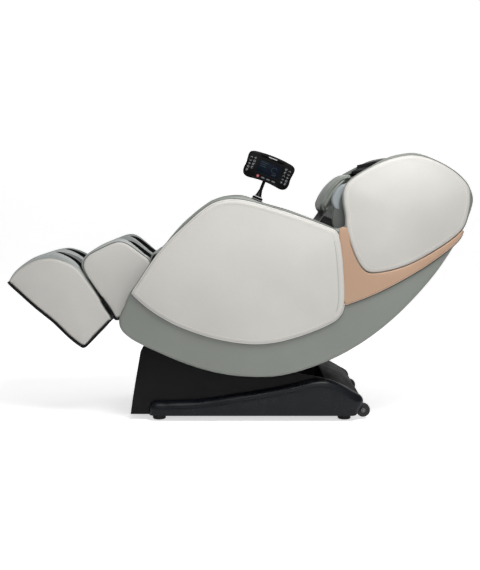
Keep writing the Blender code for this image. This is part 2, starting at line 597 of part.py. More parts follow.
def massage_pieces(palette):
    """Carriage on the back rails, two rocking arms, and four spinning rollers."""
    pieces = {}
    steel = palette["dark_steel"]
    pivot = back_point(CARRIAGE_START, 0.125)
    half_width = BEAM_IN - 0.0006
    low, high = CARRIAGE_START - 0.050, CARRIAGE_START + 0.050
    plate = [back_point(low, 0.142), back_point(high, 0.142), back_point(high, 0.150),
             back_point(low, 0.150)]
    carriage = finish("massage_carriage", prism(plate, -half_width, half_width), steel, flat(pivot))
    shapes = []
    cheek = [back_point(low, 0.112), back_point(high, 0.112), back_point(high, 0.148),
             back_point(low, 0.148)]
    for side in (-1, 1):
        shapes.append(prism(cheek, side * (half_width - 0.012), side * half_width))
    shapes.append(turned(flat(pivot, -half_width + 0.006), (0, 1, 0),
                         [(0, 0), (0, 0.007), (2 * half_width - 0.012, 0.007),
                          (2 * half_width - 0.012, 0)], 12))
    motor = back_point(CARRIAGE_START + 0.012, 0.168)
    shapes.append(turned(flat(motor, -0.055), (0, 1, 0), [(0, 0), (0, 0.024), (0.110, 0.024), (0.110, 0)],
                         16))
    pieces["massage_carriage"] = combine(carriage, shapes)

    for side, tag in ((-1, "left"), (1, "right")):
        centre_y = side * 0.075
        arm_name = "roller_arm_" + tag
        upper = back_point(CARRIAGE_START + ROLLER_REACH, ROLLER_BEHIND)
        lower = back_point(CARRIAGE_START - ROLLER_REACH, ROLLER_BEHIND)
        bar = prism(circle(pivot, 0.013, 16), centre_y - 0.008, centre_y + 0.008)
        arm = finish(arm_name, bar, steel, flat(pivot, centre_y))
        parts = [prism(strip(pivot, upper, 0.009, round_end=True), centre_y - 0.008, centre_y + 0.008),
                 prism(strip(pivot, lower, 0.009, round_end=True), centre_y - 0.008, centre_y + 0.008)]
        for spot in (upper, lower):
            start = centre_y if side > 0 else centre_y - 0.040
            parts.append(turned(flat(spot, start), (0, 1, 0),
                                [(0, 0), (0, 0.005), (0.040, 0.005), (0.040, 0)], 12))
        arm = combine(arm, parts)
        bore = circle(pivot, 0.0078, 12)
        pieces[arm_name] = cut(arm, [prism(bore, centre_y - 0.020, centre_y + 0.020)])
        for spot, level in ((upper, "upper"), (lower, "lower")):
            name = "massage_roller_" + level + "_" + tag
            profile = [(0.0, 0.0057), (0.0, 0.016), (0.006, 0.023), (0.013, 0.026), (0.020, 0.023),
                       (0.026, 0.016), (0.026, 0.0057)]
            data = turned(flat(spot, centre_y + side * 0.0095), (0, side, 0), profile, 16)
            pieces[name] = finish(name, data, palette["roller_plastic"],
                                  flat(spot, centre_y + side * 0.0225))
    return pieces


# ---------------------------------------------------------------- calf unit
def calf_outline():
    top = spline([(-0.5505, 0.551), (-0.5490, 0.567), (-0.5360, 0.5865), (-0.4965, 0.6110),
                  (-0.4380, 0.6385), (-0.4180, 0.6415), (-0.3990, 0.6360), (-0.3815, 0.6250),
                  (-0.3455, 0.598), (-0.3175, 0.576), (-0.3100, 0.560)])
    knee = [(-0.3100, 0.560), (-0.3107, 0.506), (-0.2960, 0.452)]
    sole = spline([(-0.2960, 0.452), (-0.3700, 0.401), (-0.4250, 0.366), (-0.4345, 0.360)])
    front = spline([(-0.4345, 0.360), (-0.4485, 0.389), (-0.4805, 0.436), (-0.5155, 0.486),
                    (-0.5405, 0.526),
                    (-0.5505, 0.551)])
    return loop_of(top, knee, sole, front)


def leg_pieces(palette):
    """Leg rest frame with its guide tubes, calf shell, side panels and well linings."""
    pieces = {}
    knee = flat(KNEE_PIVOT)
    frame = finish("legrest_frame", turned(flat(KNEE_PIVOT, -0.2395), (0, 1, 0),
                                           [(0, 0), (0, HINGE_RADIUS), (0.479, HINGE_RADIUS), (0.479, 0)]),
                   palette["dark_steel"], knee)
    shapes = []
    holes = []
    for side in (-1, 1):
        y0, y1 = side * 0.085, side * 0.115
        shapes.append(prism(strip(KNEE_PIVOT, leg_point(0.034, -0.030), 0.013, round_start=True), y0, y1))
        shapes.append(prism([leg_point(0.022, -0.045), leg_point(0.215, -0.045), leg_point(0.215, -0.015),
                             leg_point(0.022, -0.015)], y0, y1))
        holes.append(prism([leg_point(0.060, -0.0405), leg_point(0.230, -0.0405), leg_point(0.230, -0.0195),
                            leg_point(0.060, -0.0195)], side * 0.0895, side * 0.1105))
        shapes.append(prism(strip(KNEE_PIVOT, KNEE_LUG, 0.011, round_start=True, round_end=True),
                            side * 0.0145, side * 0.0205))
    shapes.append(turned(flat(KNEE_LUG, -0.018), (0, 1, 0),
                         [(0, 0), (0, PIN_RADIUS), (0.036, PIN_RADIUS), (0.036, 0)], 12))
    pieces["legrest_frame"] = cut(combine(frame, shapes), holes)

    outline = calf_outline()
    shell = finish("calf_shell", prism(offset_loop(outline, 0.004), -0.220, 0.220), palette["grey_shell"])
    cutters = []
    for side in (-1, 1):
        cutters.append(prism([leg_point(-0.06, 0.034), leg_point(0.30, 0.034), leg_point(0.30, 0.30),
                              leg_point(-0.06, 0.30)], side * WELL_INNER, side * WELL_OUTER))
        cutters.append(prism([leg_point(-0.06, -0.10), leg_point(0.30, -0.10), leg_point(0.30, -0.010),
                              leg_point(-0.06, -0.010)], side * 0.080, side * 0.120))
    cutters.append(prism([leg_point(-0.06, -0.12), leg_point(0.150, -0.12), leg_point(0.150, 0.020),
                          leg_point(-0.06, 0.020)], -0.050, 0.050))
    pieces["calf_shell"] = cut(shell, cutters)

    for side, tag in ((-1, "left"), (1, "right")):
        name = "calf_side_panel_" + tag
        data = chamfered(outline, side * UNIT_INNER, side * UNIT_OUTER, 0.008)
        pieces[name] = finish(name, data, palette["white_leather"])
        # U-shaped lining, drawn across the well and pulled along the shin
        a, b = WELL_INNER + 0.0006, WELL_OUTER - 0.0006
        section = [(a, 0.0346), (b, 0.0346), (b, 0.110), (b - 0.010, 0.110), (b - 0.018, 0.066),
                   (b - 0.045, 0.050), (a + 0.045, 0.050), (a + 0.018, 0.066), (a + 0.010, 0.110),
                   (a, 0.110)]
        lining = frame_prism([(side * y, up) for y, up in section], knee, Y_AXIS, LEG_UP, LEG_OUT, 0.060,
                             0.222)
        pieces["calf_pad_" + tag] = finish("calf_pad_" + tag, lining, palette["black_fabric"])
    return pieces


# ---------------------------------------------------------------- foot unit
def foot_outline():
    top = spline([(-0.8245, 0.494), (-0.7985, 0.528), (-0.7695, 0.552), (-0.7295, 0.576), (-0.6975, 0.585),
                  (-0.6615, 0.587), (-0.6255, 0.576), (-0.5975, 0.562), (-0.5795, 0.548), (-0.5585, 0.526)])
    rear = spline([(-0.5585, 0.526), (-0.5405, 0.501), (-0.5055, 0.450), (-0.4735, 0.399), (-0.4565, 0.374),
                   (-0.4495, 0.356)])
    ankle = spline([(-0.4495, 0.356), (-0.4675, 0.338), (-0.5145, 0.290), (-0.5365, 0.265),
                    (-0.5515, 0.254),
                    (-0.5695, 0.265), (-0.6055, 0.294), (-0.6615, 0.349), (-0.7225, 0.399),
                    (-0.7785, 0.450),
                    (-0.8120, 0.481), (-0.8245, 0.494)])
    return [(max(x, -LENGTH / 2), z) for x, z in loop_of(top, rear, ankle)]


def foot_pieces(palette):
    """Sliding foot unit: shell with two wells, side panels, linings and its slide rods."""
    pieces = {}
    outline = foot_outline()
    shell = finish("foot_shell", prism(offset_loop(outline, 0.004), -0.220, 0.220), palette["grey_shell"],
                   flat(leg_point(0.245, -0.030)))
    cutters = []
    well = [(0.200, 0.000), (0.365, 0.000), (0.395, 0.060), (0.455, 0.225), (0.430, 0.340), (0.200, 0.340)]
    for side in (-1, 1):
        cutters.append(prism([leg_point(*p) for p in well], side * WELL_INNER, side * WELL_OUTER))
    pieces["foot_shell"] = cut(shell, cutters)

    lining = [(0.250, 0.0006), (0.3645, 0.0006), (0.3943, 0.0606), (0.4528, 0.222), (0.4470, 0.252),
              (0.4370, 0.250), (0.4430, 0.224), (0.3850, 0.064), (0.3580, 0.0106), (0.250, 0.0106)]
    for side, tag in ((-1, "left"), (1, "right")):
        name = "foot_side_panel_" + tag
        data = chamfered(outline, side * UNIT_INNER, side * UNIT_OUTER, 0.008)
        pieces[name] = finish(name, data, palette["white_leather"])
        data = prism([leg_point(*p) for p in lining], side * (WELL_INNER + 0.0006),
                     side * (WELL_OUTER - 0.0006))
        pieces["foot_lining_" + tag] = finish("foot_lining_" + tag, data, palette["black_fabric"])

    rods = finish("foot_slide_frame", prism([leg_point(0.2315, -0.0395), leg_point(0.2405, -0.0395),
                                             leg_point(0.2405, -0.0205), leg_point(0.2315, -0.0205)],
                                            -0.109, 0.109), palette["bright_steel"])
    bars = []
    for side in (-1, 1):
        bars.append(prism([leg_point(0.075, -0.040), leg_point(0.2400, -0.040), leg_point(0.2400, -0.020),
                           leg_point(0.075, -0.020)], side * 0.090, side * 0.110))
    pieces["foot_slide_frame"] = combine(rods, bars)
    return pieces


# ---------------------------------------------------------------- actuators
def actuator_pieces(palette, stem, anchor, lug, rod_start, bore_start, eye_hole):
    """Linear actuator: a tube that swings on its anchor pin and a rod that slides in it."""
    start, end = flat(anchor), flat(lug)
    along = (end - start).normalized()
    reach = (end - start).length
    body = finish(stem + "_body", prism(circle(anchor, 0.017, 16), -0.0185, 0.0185),
                  palette["black_plastic"], start)
    tube = turned(start, along, [(0.010, 0), (0.010, 0.0185), (0.200, 0.0185), (0.200, 0.0105),
                                 (bore_start, 0.0105), (bore_start, 0)], 16)
    body = combine(body, [tube])
    body = cut(body, [prism(circle(anchor, PIN_RADIUS + PIN_CLEARANCE, 12), -0.030, 0.030)])

    rod = finish(stem + "_rod", prism(circle(lug, eye_hole + 0.0075, 16), -0.0115, 0.0115),
                 palette["bright_steel"], start + along * 0.200)
    shaft = turned(start, along, [(rod_start, 0), (rod_start, 0.0095), (reach - eye_hole - 0.003, 0.0095),
                                  (reach - eye_hole - 0.003, 0)], 16)
    rod = combine(rod, [shaft])
    rod = cut(rod, [prism(circle(lug, eye_hole, 16), -0.030, 0.030)])
    return {stem + "_body": body, stem + "_rod": rod}


# ---------------------------------------------------------------- tablet and stand
def tablet_pieces(palette):
    """Remote tablet on a swivelling stand, with a power button and three keys."""
    pieces = {}
    centre = flat(TABLET_CENTRE)

    def slab(outline, y0, y1):
        return frame_prism(outline, centre, TABLET_RIGHT, TABLET_UP, Y_AXIS, y0, y1)

    edge = loop_of(spline([(-0.0968, 0.0360), (-0.0900, 0.0435), (-0.0500, 0.0465), (0.0000, 0.0480),
                           (0.0500, 0.0465), (0.0900, 0.0435), (0.0968, 0.0360)], 0.02),
                   spline([(0.0968, 0.0360), (0.0962, 0.0000), (0.0968, -0.0300), (0.0900, -0.0440),
                           (0.0700, -0.0500), (0.0480, -0.0475), (0.0000, -0.0440), (-0.0480, -0.0475),
                           (-0.0700, -0.0500), (-0.0900, -0.0440), (-0.0968, -0.0300), (-0.0962, 0.0000),
                           (-0.0968, 0.0360)], 0.02))
    tilt = centre - TABLET_UP * 0.010 + Y_AXIS * STAND_Y
    housing = finish("tablet_housing", slab(edge, TABLET_FRONT, TABLET_BACK), palette["gloss_black"], tilt)
    neck = frame_prism(rounded_box(-0.0145, TABLET_BACK - 0.002, 0.0145, STAND_Y - 0.001, 0.0015, 1),
                       centre,
                       TABLET_RIGHT, Y_AXIS, TABLET_UP, -0.0165, -0.0035)
    barrel = turned(tilt - TABLET_RIGHT * 0.015, TABLET_RIGHT,
                    [(0, 0), (0, 0.0070), (0.030, 0.0070), (0.030, 0)], 16)
    housing = combine(housing, [neck, barrel])
    bore = turned(tilt - TABLET_RIGHT * 0.020, TABLET_RIGHT,
                  [(0, 0), (0, 0.0036), (0.040, 0.0036), (0.040, 0)], 12)
    screen_box = (-0.0480, -0.0180, 0.0480, 0.0340)
    row = -0.0330
    keys = {"tablet_key_left": (-0.0110, row), "tablet_key_middle": (0.0115, row),
            "tablet_key_right": (0.0340, row)}
    power = (-0.0330, row)
    pockets = [bore, slab(rounded_box(*screen_box, 0.004, 2), 0.280, TABLET_FRONT + 0.0020)]
    pockets.append(slab(circle(power, 0.0060, 20), 0.280, TABLET_FRONT + 0.0045))
    for x, z in keys.values():
        pockets.append(slab(rounded_box(x - 0.0080, z - 0.0032, x + 0.0080, z + 0.0032, 0.0030, 3),
                            0.280, TABLET_FRONT + 0.0045))
    pieces["tablet_housing"] = cut(housing, pockets)

    inset = 0.0004
    glass = rounded_box(screen_box[0] + inset, screen_box[1] + inset, screen_box[2] - inset,
                        screen_box[3] - inset, 0.0036, 2)
    pieces["tablet_screen"] = finish("tablet_screen",
                                     slab(glass, TABLET_FRONT + 0.0004, TABLET_FRONT + 0.0016),
                                     palette["screen_glass"])
    face, back = TABLET_FRONT - 0.0012, TABLET_FRONT + 0.0030
    spot = centre + TABLET_RIGHT * power[0] + TABLET_UP * power[1] + Y_AXIS * face
    pieces["power_button"] = finish("power_button", slab(circle(power, 0.0055, 20), face, back),
                                    palette["red_plastic"], spot)
    for name, (x, z) in keys.items():
        outline = rounded_box(x - 0.0075, z - 0.0027, x + 0.0075, z + 0.0027, 0.0026, 3)
        spot = centre + TABLET_RIGHT * x + TABLET_UP * z + Y_AXIS * face
        pieces[name] = finish(name, slab(outline, face, back), palette["grey_plastic"], spot)

    # the arm: foot disc, neck and a fork around the tablet's barrel, turning on the puck
    post = centre + Y_AXIS * STAND_Y
    arm = finish("stand_arm", turned(post, TABLET_UP, [(-0.1105, 0), (-0.1105, 0.016), (-0.104, 0.012),
                                                       (-0.080, 0.0065), (-0.0275, 0.0065), (-0.0275, 0)],
                                     16),
                 palette["gloss_black"], post - TABLET_UP * 0.1115)
    bridge = frame_prism(rounded_box(-0.024, -0.006, 0.024, 0.006, 0.003, 2), post, TABLET_RIGHT, Y_AXIS,
                         TABLET_UP, -0.036, -0.026)
    shapes = [bridge]
    for side in (-1, 1):
        shapes.append(frame_prism(rounded_box(-0.007, -0.032, 0.007, -0.002, 0.006, 3), post, Y_AXIS,
                                  TABLET_UP,
                                  TABLET_RIGHT, side * 0.0165, side * 0.0235))
    shapes.append(turned(tilt - TABLET_RIGHT * 0.019, TABLET_RIGHT,
                         [(0, 0), (0, 0.0030), (0.038, 0.0030), (0.038, 0)], 12))
    pieces["stand_arm"] = combine(arm, shapes)
    puck = turned(post, TABLET_UP, [(-0.1225, 0), (-0.1225, 0.022), (-0.1155, 0.022), (-0.1120, 0.019),
                                    (-0.1120, 0)], 20)
    pieces["stand_base"] = finish("stand_base", puck, palette["black_plastic"])
    return pieces


# ---------------------------------------------------------------- assembly
def assemble():
    clear_scene()
    palette = make_palette()
    base = base_pieces(palette)
    seat_frame = seat_frame_piece(palette)
    body = panel_pieces(palette)
    body["rear_shell"] = rear_shell_piece(palette)
    body.update(cushion_pieces(palette))
    massage = massage_pieces(palette)
    leg = leg_pieces(palette)
    foot = foot_pieces(palette)
    recline_drive = actuator_pieces(palette, "recline_actuator", RECLINE_ANCHOR, RECLINE_LUG, 0.100,
                                    0.085, 0.0105)
    knee_drive = actuator_pieces(palette, "legrest_actuator", KNEE_ANCHOR, KNEE_LUG, 0.095, 0.070, 0.0125)
    tablet = tablet_pieces(palette)

    for name, piece in base.items():
        if name != "base_frame":
            hang(piece, base["base_frame"])
    for piece in body.values():
        hang(piece, seat_frame)
    hang(massage["massage_carriage"], seat_frame)
    for side in ("left", "right"):
        hang(massage["roller_arm_" + side], massage["massage_carriage"])
        for level in ("upper", "lower"):
            hang(massage["massage_roller_" + level + "_" + side], massage["roller_arm_" + side])
    hang(leg["legrest_frame"], seat_frame)
    for name, piece in leg.items():
        if name != "legrest_frame":
            hang(piece, leg["legrest_frame"])
    hang(foot["foot_shell"], leg["legrest_frame"])
    for name, piece in foot.items():
        if name != "foot_shell":
            hang(piece, foot["foot_shell"])
    hang(recline_drive["recline_actuator_body"], base["base_frame"])
    hang(recline_drive["recline_actuator_rod"], recline_drive["recline_actuator_body"])
    hang(knee_drive["legrest_actuator_body"], seat_frame)
    hang(knee_drive["legrest_actuator_rod"], knee_drive["legrest_actuator_body"])
    hang(tablet["stand_base"], seat_frame)
    hang(tablet["stand_arm"], seat_frame)
    hang(tablet["tablet_housing"], tablet["stand_arm"])
    for name in ("tablet_screen", "power_button", "tablet_key_left", "tablet_key_middle",
                 "tablet_key_right"):
        hang(tablet[name], tablet["tablet_housing"])
    hang(seat_frame, base["base_frame"])


assemble()
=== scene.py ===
"""Zero-gravity massage chair: the visual model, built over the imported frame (Blender 4.5).

X runs from the feet to the head, Y to the sitter's right, Z up, in metres.
"""
import json
import math

import bmesh
import bpy
import numpy as np
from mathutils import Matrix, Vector
from mathutils.geometry import delaunay_2d_cdt

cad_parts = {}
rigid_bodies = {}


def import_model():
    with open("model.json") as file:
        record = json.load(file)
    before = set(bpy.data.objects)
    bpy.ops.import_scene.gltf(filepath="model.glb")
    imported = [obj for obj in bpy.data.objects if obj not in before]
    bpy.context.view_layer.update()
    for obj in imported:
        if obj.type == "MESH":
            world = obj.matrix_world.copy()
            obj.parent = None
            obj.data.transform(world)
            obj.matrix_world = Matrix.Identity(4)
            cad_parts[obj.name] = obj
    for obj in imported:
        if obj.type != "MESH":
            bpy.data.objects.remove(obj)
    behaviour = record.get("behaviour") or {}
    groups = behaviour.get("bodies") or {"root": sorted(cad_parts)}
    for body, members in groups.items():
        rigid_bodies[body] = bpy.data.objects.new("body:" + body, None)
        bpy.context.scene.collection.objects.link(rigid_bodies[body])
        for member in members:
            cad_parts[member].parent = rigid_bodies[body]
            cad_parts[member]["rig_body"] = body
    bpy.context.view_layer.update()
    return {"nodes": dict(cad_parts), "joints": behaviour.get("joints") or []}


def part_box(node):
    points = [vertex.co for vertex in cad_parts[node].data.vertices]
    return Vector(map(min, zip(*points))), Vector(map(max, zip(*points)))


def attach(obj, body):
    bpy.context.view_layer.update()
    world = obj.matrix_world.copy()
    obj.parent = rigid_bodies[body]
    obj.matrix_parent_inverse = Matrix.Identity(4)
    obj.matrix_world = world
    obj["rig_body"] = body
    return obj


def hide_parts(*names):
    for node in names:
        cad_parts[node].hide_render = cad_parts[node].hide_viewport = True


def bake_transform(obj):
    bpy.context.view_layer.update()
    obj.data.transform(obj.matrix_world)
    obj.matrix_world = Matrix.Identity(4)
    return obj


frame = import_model()
JOINTS = {joint["name"]: joint for joint in frame["joints"]}
SIDES = ((-1, "left"), (1, "right"))


# ---------------------------------------------------------------- materials
class Graph:
    """A material's node tree, with short calls for the nodes used here."""

    def __init__(self, name, roughness=0.5, metallic=0.0):
        self.material = bpy.data.materials.new(name)
        self.material.use_nodes = True
        self.tree = self.material.node_tree
        self.shader = self.tree.nodes["Principled BSDF"]
        self.surface({"Roughness": roughness, "Metallic": metallic})
        self.place = self.node("ShaderNodeTexCoord").outputs["Object"]

    def feed(self, socket, item):
        """Link another node's output into a socket, or set it to a number, vector or colour."""
        if isinstance(item, bpy.types.NodeSocket):
            self.tree.links.new(item, socket)
        elif isinstance(item, tuple) and len(socket.default_value) == 4:
            socket.default_value = (*item, 1.0)
        else:
            socket.default_value = item

    def node(self, kind, inputs=None, **values):
        made = self.tree.nodes.new(kind)
        for key, value in values.items():
            setattr(made, key, value)
        for key, item in (inputs or {}).items():
            self.feed(made.inputs[key], item)
        return made

    def surface(self, inputs):
        for key, item in inputs.items():
            self.feed(self.shader.inputs[key], item)

    def noise(self, scale, detail=2.0, vector=None):
        inputs = {"Scale": scale, "Detail": detail, "Vector": vector or self.place}
        return self.node("ShaderNodeTexNoise", inputs).outputs["Fac"]

    def bands(self, scale, direction):
        inputs = {"Scale": scale, "Vector": self.place}
        return self.node("ShaderNodeTexWave", inputs, bands_direction=direction).outputs["Fac"]

    def fit(self, value, low, high, new_low, new_high):
        inputs = {"Value": value, "From Min": low, "From Max": high, "To Min": new_low, "To Max": new_high}
        return self.node("ShaderNodeMapRange", inputs).outputs["Result"]

    def maths(self, operation, one, two):
        return self.node("ShaderNodeMath", {0: one, 1: two}, operation=operation).outputs["Value"]

    def mix(self, factor, one, two):
        return self.node("ShaderNodeMix", {0: factor, 6: one, 7: two}, data_type="RGBA").outputs[2]

    def bump(self, height, strength, distance):
        made = self.node("ShaderNodeBump", {"Strength": strength, "Distance": distance, "Height": height})
        self.surface({"Normal": made.outputs["Normal"]})

    def edge_highlight_crease_shade(self, amount):
        """Painted highlight on convex edges and painted shade in creases, from the surface's own shape."""
        # pointiness drives this mix: convex edges get a painted highlight, creases stay darker as painted
        # shade
        return self.fit(self.node("ShaderNodeNewGeometry").outputs["Pointiness"], 0.47, 0.56, 0.0, amount)


def dull(material, level):
    """Weaker mirror reflection, for dark parts that must stay dark under a bright sky."""
    material.node_tree.nodes["Principled BSDF"].inputs["Specular IOR Level"].default_value = level
    return material


def shade(colour, factor):
    return tuple(min(1.0, c * factor) for c in colour)


def leather(name, colour, roughness=0.42, grain=330.0, depth=0.25, coat=0.0):
    """Synthetic leather: pebbled grain with fine pores, slow tone changes, a painted highlight on convex
    edges and painted shade in creases.
    """
    g = Graph(name, roughness)
    cells = g.node("ShaderNodeTexVoronoi", {"Scale": grain, "Vector": g.place}, feature="DISTANCE_TO_EDGE")
    pebble = g.fit(cells.outputs["Distance"], 0.0, 0.35, 0.0, 1.0)
    pores = g.noise(grain * 2.6)
    slow = g.noise(3.2, 3.0)
    tone = g.mix(g.fit(slow, 0.35, 0.65, 0.0, 1.0), shade(colour, 0.95), shade(colour, 1.04))
    creased = g.mix(g.fit(pebble, 0.0, 0.5, 0.16, 0.0), tone, shade(colour, 0.55))
    uneven = g.fit(g.noise(45.0, 3.0), 0.3, 0.7, roughness - 0.06, roughness + 0.06)
    # lighter on convex edges as a painted highlight, darker in creases as painted shade
    g.surface({"Base Color": g.mix(g.edge_highlight_crease_shade(0.30), creased, shade(colour, 1.18)),
               "Roughness": g.maths("ADD", uneven, g.fit(pebble, 0.0, 0.6, 0.08, 0.0)),
               "Coat Weight": coat, "Coat Roughness": 0.3})
    g.bump(g.maths("ADD", pebble, g.maths("MULTIPLY", pores, 0.5)), depth, 0.0004)
    return g.material


def mesh_fabric(name, colour, scale=95.0):
    """Woven spacer mesh: two crossed yarn directions with dark gaps and a soft sheen."""
    g = Graph(name)
    weave = g.maths("MULTIPLY", g.bands(scale, "Y"), g.bands(scale * 0.71, "DIAGONAL"))
    fuzz = g.noise(900.0)
    worn = g.fit(g.noise(14.0, 3.0), 0.35, 0.7, 0.0, 1.0)
    yarn = g.mix(worn, shade(colour, 0.8), shade(colour, 1.5))
    g.surface({"Base Color": g.mix(g.fit(weave, 0.05, 0.6, 0.0, 1.0), shade(colour, 0.25), yarn),
               "Roughness": g.fit(fuzz, 0.3, 0.7, 0.75, 0.95), "Sheen Weight": 0.25,
               "Sheen Roughness": 0.4})
    g.bump(g.maths("ADD", weave, g.maths("MULTIPLY", fuzz, 0.3)), 0.5, 0.0006)
    return g.material


def moulded(name, colour, roughness=0.4, texture=900.0, depth=0.10, coat=0.0, metallic=0.0):
    """Moulded plastic or painted metal: fine spark texture, uneven gloss, a painted highlight on convex
    edges and painted shade in the corners.
    """
    g = Graph(name, roughness, metallic)
    spark = g.noise(texture, 3.0)
    slow = g.noise(5.0, 4.0)
    base = g.mix(g.fit(slow, 0.35, 0.65, 0.0, 1.0), shade(colour, 0.9), shade(colour, 1.1))
    gloss = g.fit(g.noise(22.0, 4.0), 0.3, 0.7, max(0.03, roughness - 0.08), roughness + 0.09)
    # convex edges painted lighter as a highlight, corners left darker as painted shade
    g.surface({"Base Color": g.mix(g.edge_highlight_crease_shade(0.45), base, shade(colour, 1.9)), "Roughness": gloss,
               "Coat Weight": coat, "Coat Roughness": 0.15})
    g.bump(spark, depth, 0.0002)
    return g.material


def brushed(name, colour, roughness=0.28):
    """Brushed steel: long scratches along the part."""
    g = Graph(name, roughness, 1.0)
    stretched = g.node("ShaderNodeMapping", {"Scale": (0.06, 3.0, 0.06), "Vector": g.place})
    scratch = g.noise(240.0, 3.0, stretched.outputs["Vector"])
    g.surface({"Base Color": g.mix(g.fit(scratch, 0.3, 0.7, 0.0, 1.0), shade(colour, 0.75),
                                   shade(colour, 1.1)),
               "Roughness": g.fit(scratch, 0.3, 0.7, roughness - 0.08, roughness + 0.12)})
    g.bump(scratch, 0.12, 0.0001)
    return g.material


def rubber(name, colour):
    """Dusty matt rubber."""
    g = Graph(name)
    dust = g.fit(g.noise(60.0, 4.0), 0.45, 0.75, 0.0, 0.6)
    g.surface({"Base Color": g.mix(dust, colour, shade(colour, 3.0)),
               "Roughness": g.fit(g.noise(200.0), 0.3, 0.7, 0.7, 0.92)})
    g.bump(g.noise(800.0), 0.3, 0.0003)
    return g.material


def glowing(name, colours, strength, patches, gloss, roughness):
    """Lit surface, uneven between two colours; patches and gloss are (scale, detail) of their noise."""
    g = Graph(name)
    tone = g.mix(g.fit(g.noise(*patches), 0.35, 0.65, 0.0, 1.0), *colours)
    g.surface({"Base Color": tone, "Emission Color": tone, "Emission Strength": strength,
               "Roughness": g.fit(g.noise(*gloss), 0.3, 0.7, *roughness)})
    return g.material


def printed(name, colour, strength=0.15):
    """Back-lit printed symbols on the tablet."""
    return glowing(name, (shade(colour, 0.7), colour), strength, (300.0, 2.0), (500.0, 1.0), (0.3, 0.45))


WHITE = leather("white_leather", (0.510, 0.498, 0.470), 0.46, 330.0, 0.16)
# paler copy of the white leather: a painted highlight for the arm panels' edge bead
WHITE_BEAD_HIGHLIGHT = leather("white_bead_painted_highlight", (0.640, 0.630, 0.605), 0.40, 500.0, 0.10)
GREY = leather("grey_satin_leather", (0.190, 0.204, 0.184), 0.36, 420.0, 0.12)
GREY_PALE = leather("pale_grey_leather", (0.330, 0.350, 0.340), 0.42, 380.0, 0.20)
GREY_BLUE = leather("blue_grey_leather", (0.240, 0.268, 0.280), 0.38, 380.0, 0.16)
SHADOW_GREY = leather("shadow_grey_leather", (0.075, 0.082, 0.076), 0.45, 380.0, 0.20)
BRONZE = leather("bronze_leather", (0.405, 0.258, 0.172), 0.34, 420.0, 0.14, 0.10)
# paler copy of the bronze leather: a painted highlight for the accent's edge bead
BRONZE_BEAD_HIGHLIGHT = leather("bronze_bead_painted_highlight", (0.640, 0.470, 0.360), 0.30, 500.0, 0.08)
THREAD_WHITE = leather("white_thread", (0.72, 0.70, 0.66), 0.70, 900.0, 0.40)
THREAD_GREY = leather("grey_thread", (0.16, 0.17, 0.165), 0.70, 900.0, 0.40)
BLACK_LEATHER = dull(leather("black_leather", (0.007, 0.007, 0.008), 0.42, 300.0, 0.40), 0.28)
LINER = dull(leather("black_liner", (0.004, 0.004, 0.0045), 0.70, 300.0, 0.30), 0.06)
BLACK_MESH = dull(mesh_fabric("black_mesh", (0.007, 0.007, 0.008)), 0.1)
BLACK_SATIN = dull(moulded("black_satin_plastic", (0.0040, 0.0040, 0.0045)), 0.14)
FENDER = dull(moulded("black_fender_plastic", (0.0030, 0.0040, 0.0058), 0.30, depth=0.06), 0.24)
DECK = dull(moulded("black_deck_plastic", (0.0035, 0.0033, 0.0032), 0.55, depth=0.08), 0.05)
BLACK_GLOSS = dull(moulded("black_gloss_plastic", (0.0030, 0.0030, 0.0035), 0.30, 300.0, 0.02), 0.09)
BLACK_SEAM = dull(moulded("black_seam", (0.006, 0.006, 0.006), 0.60, depth=0.20), 0.15)
GREY_SEAM = moulded("grey_seam", (0.060, 0.062, 0.058), 0.60, depth=0.20)
DARK_STEEL = dull(moulded("powder_coated_steel", (0.014, 0.014, 0.016), 0.48, 1400.0, 0.35, metallic=0.2),
                  0.3)
AMBER = moulded("amber_roller", (0.42, 0.17, 0.04), 0.35, 500.0, coat=0.3)
GREY_KEYS = moulded("grey_keys", (0.110, 0.115, 0.120))
RED = moulded("red_button", (0.36, 0.080, 0.090), 0.35, depth=0.05, coat=0.1)
STEEL = brushed("brushed_steel", (0.62, 0.62, 0.63))
RUBBER = rubber("black_rubber", (0.014, 0.014, 0.014))
SCREEN = dull(glowing("blue_display", ((0.0020, 0.0030, 0.0095), (0.0022, 0.0070, 0.0120)), 0.20,
                      (22.0, 1.0), (40.0, 2.0), (0.30, 0.42)), 0.08)
INK = printed("grey_symbols", (0.34, 0.36, 0.37))
INK_WHITE = printed("white_light_bar", (0.55, 0.55, 0.55), 0.2)
INK_BLUE = printed("blue_graphics", (0.010, 0.024, 0.042), 0.10)


# ---------------------------------------------------------------- outlines
def cap_outline(node, level, tolerance=3e-4):
    """Outline of a CAD node's flat face at one Y level, as a counter-clockwise XZ loop."""
    mesh = frame["nodes"][node].data
    key = [(round(v.co.x, 5), round(v.co.z, 5)) for v in mesh.vertices]
    on_cap = [abs(v.co.y - level) < tolerance for v in mesh.vertices]
    edges = {}
    for face in mesh.polygons:
        ring = list(face.vertices)
        if all(on_cap[i] for i in ring):
            for a, b in zip(ring, ring[1:] + ring[:1]):
                pair = frozenset((key[a], key[b]))
                if len(pair) == 2:
                    edges[pair] = edges.get(pair, 0) + 1
    follow = {}
    for pair, uses in edges.items():
        if uses == 1:
            a, b = tuple(pair)
            follow.setdefault(a, []).append(b)
            follow.setdefault(b, []).append(a)
    loop = [min(follow)]
    previous, here = None, loop[0]
    while True:
        ahead = [p for p in follow[here] if p != previous]
        previous, here = here, ahead[0]
        if here == loop[0]:
            return turned_left(np.array(loop))
        loop.append(here)


def signed_area(points):
    x, z = points[:, 0], points[:, 1]
    return 0.5 * float(np.sum(x * np.roll(z, -1) - np.roll(x, -1) * z))


def turned_left(points):
    """The same closed outline, counter-clockwise."""
    return points if signed_area(points) > 0 else points[::-1]


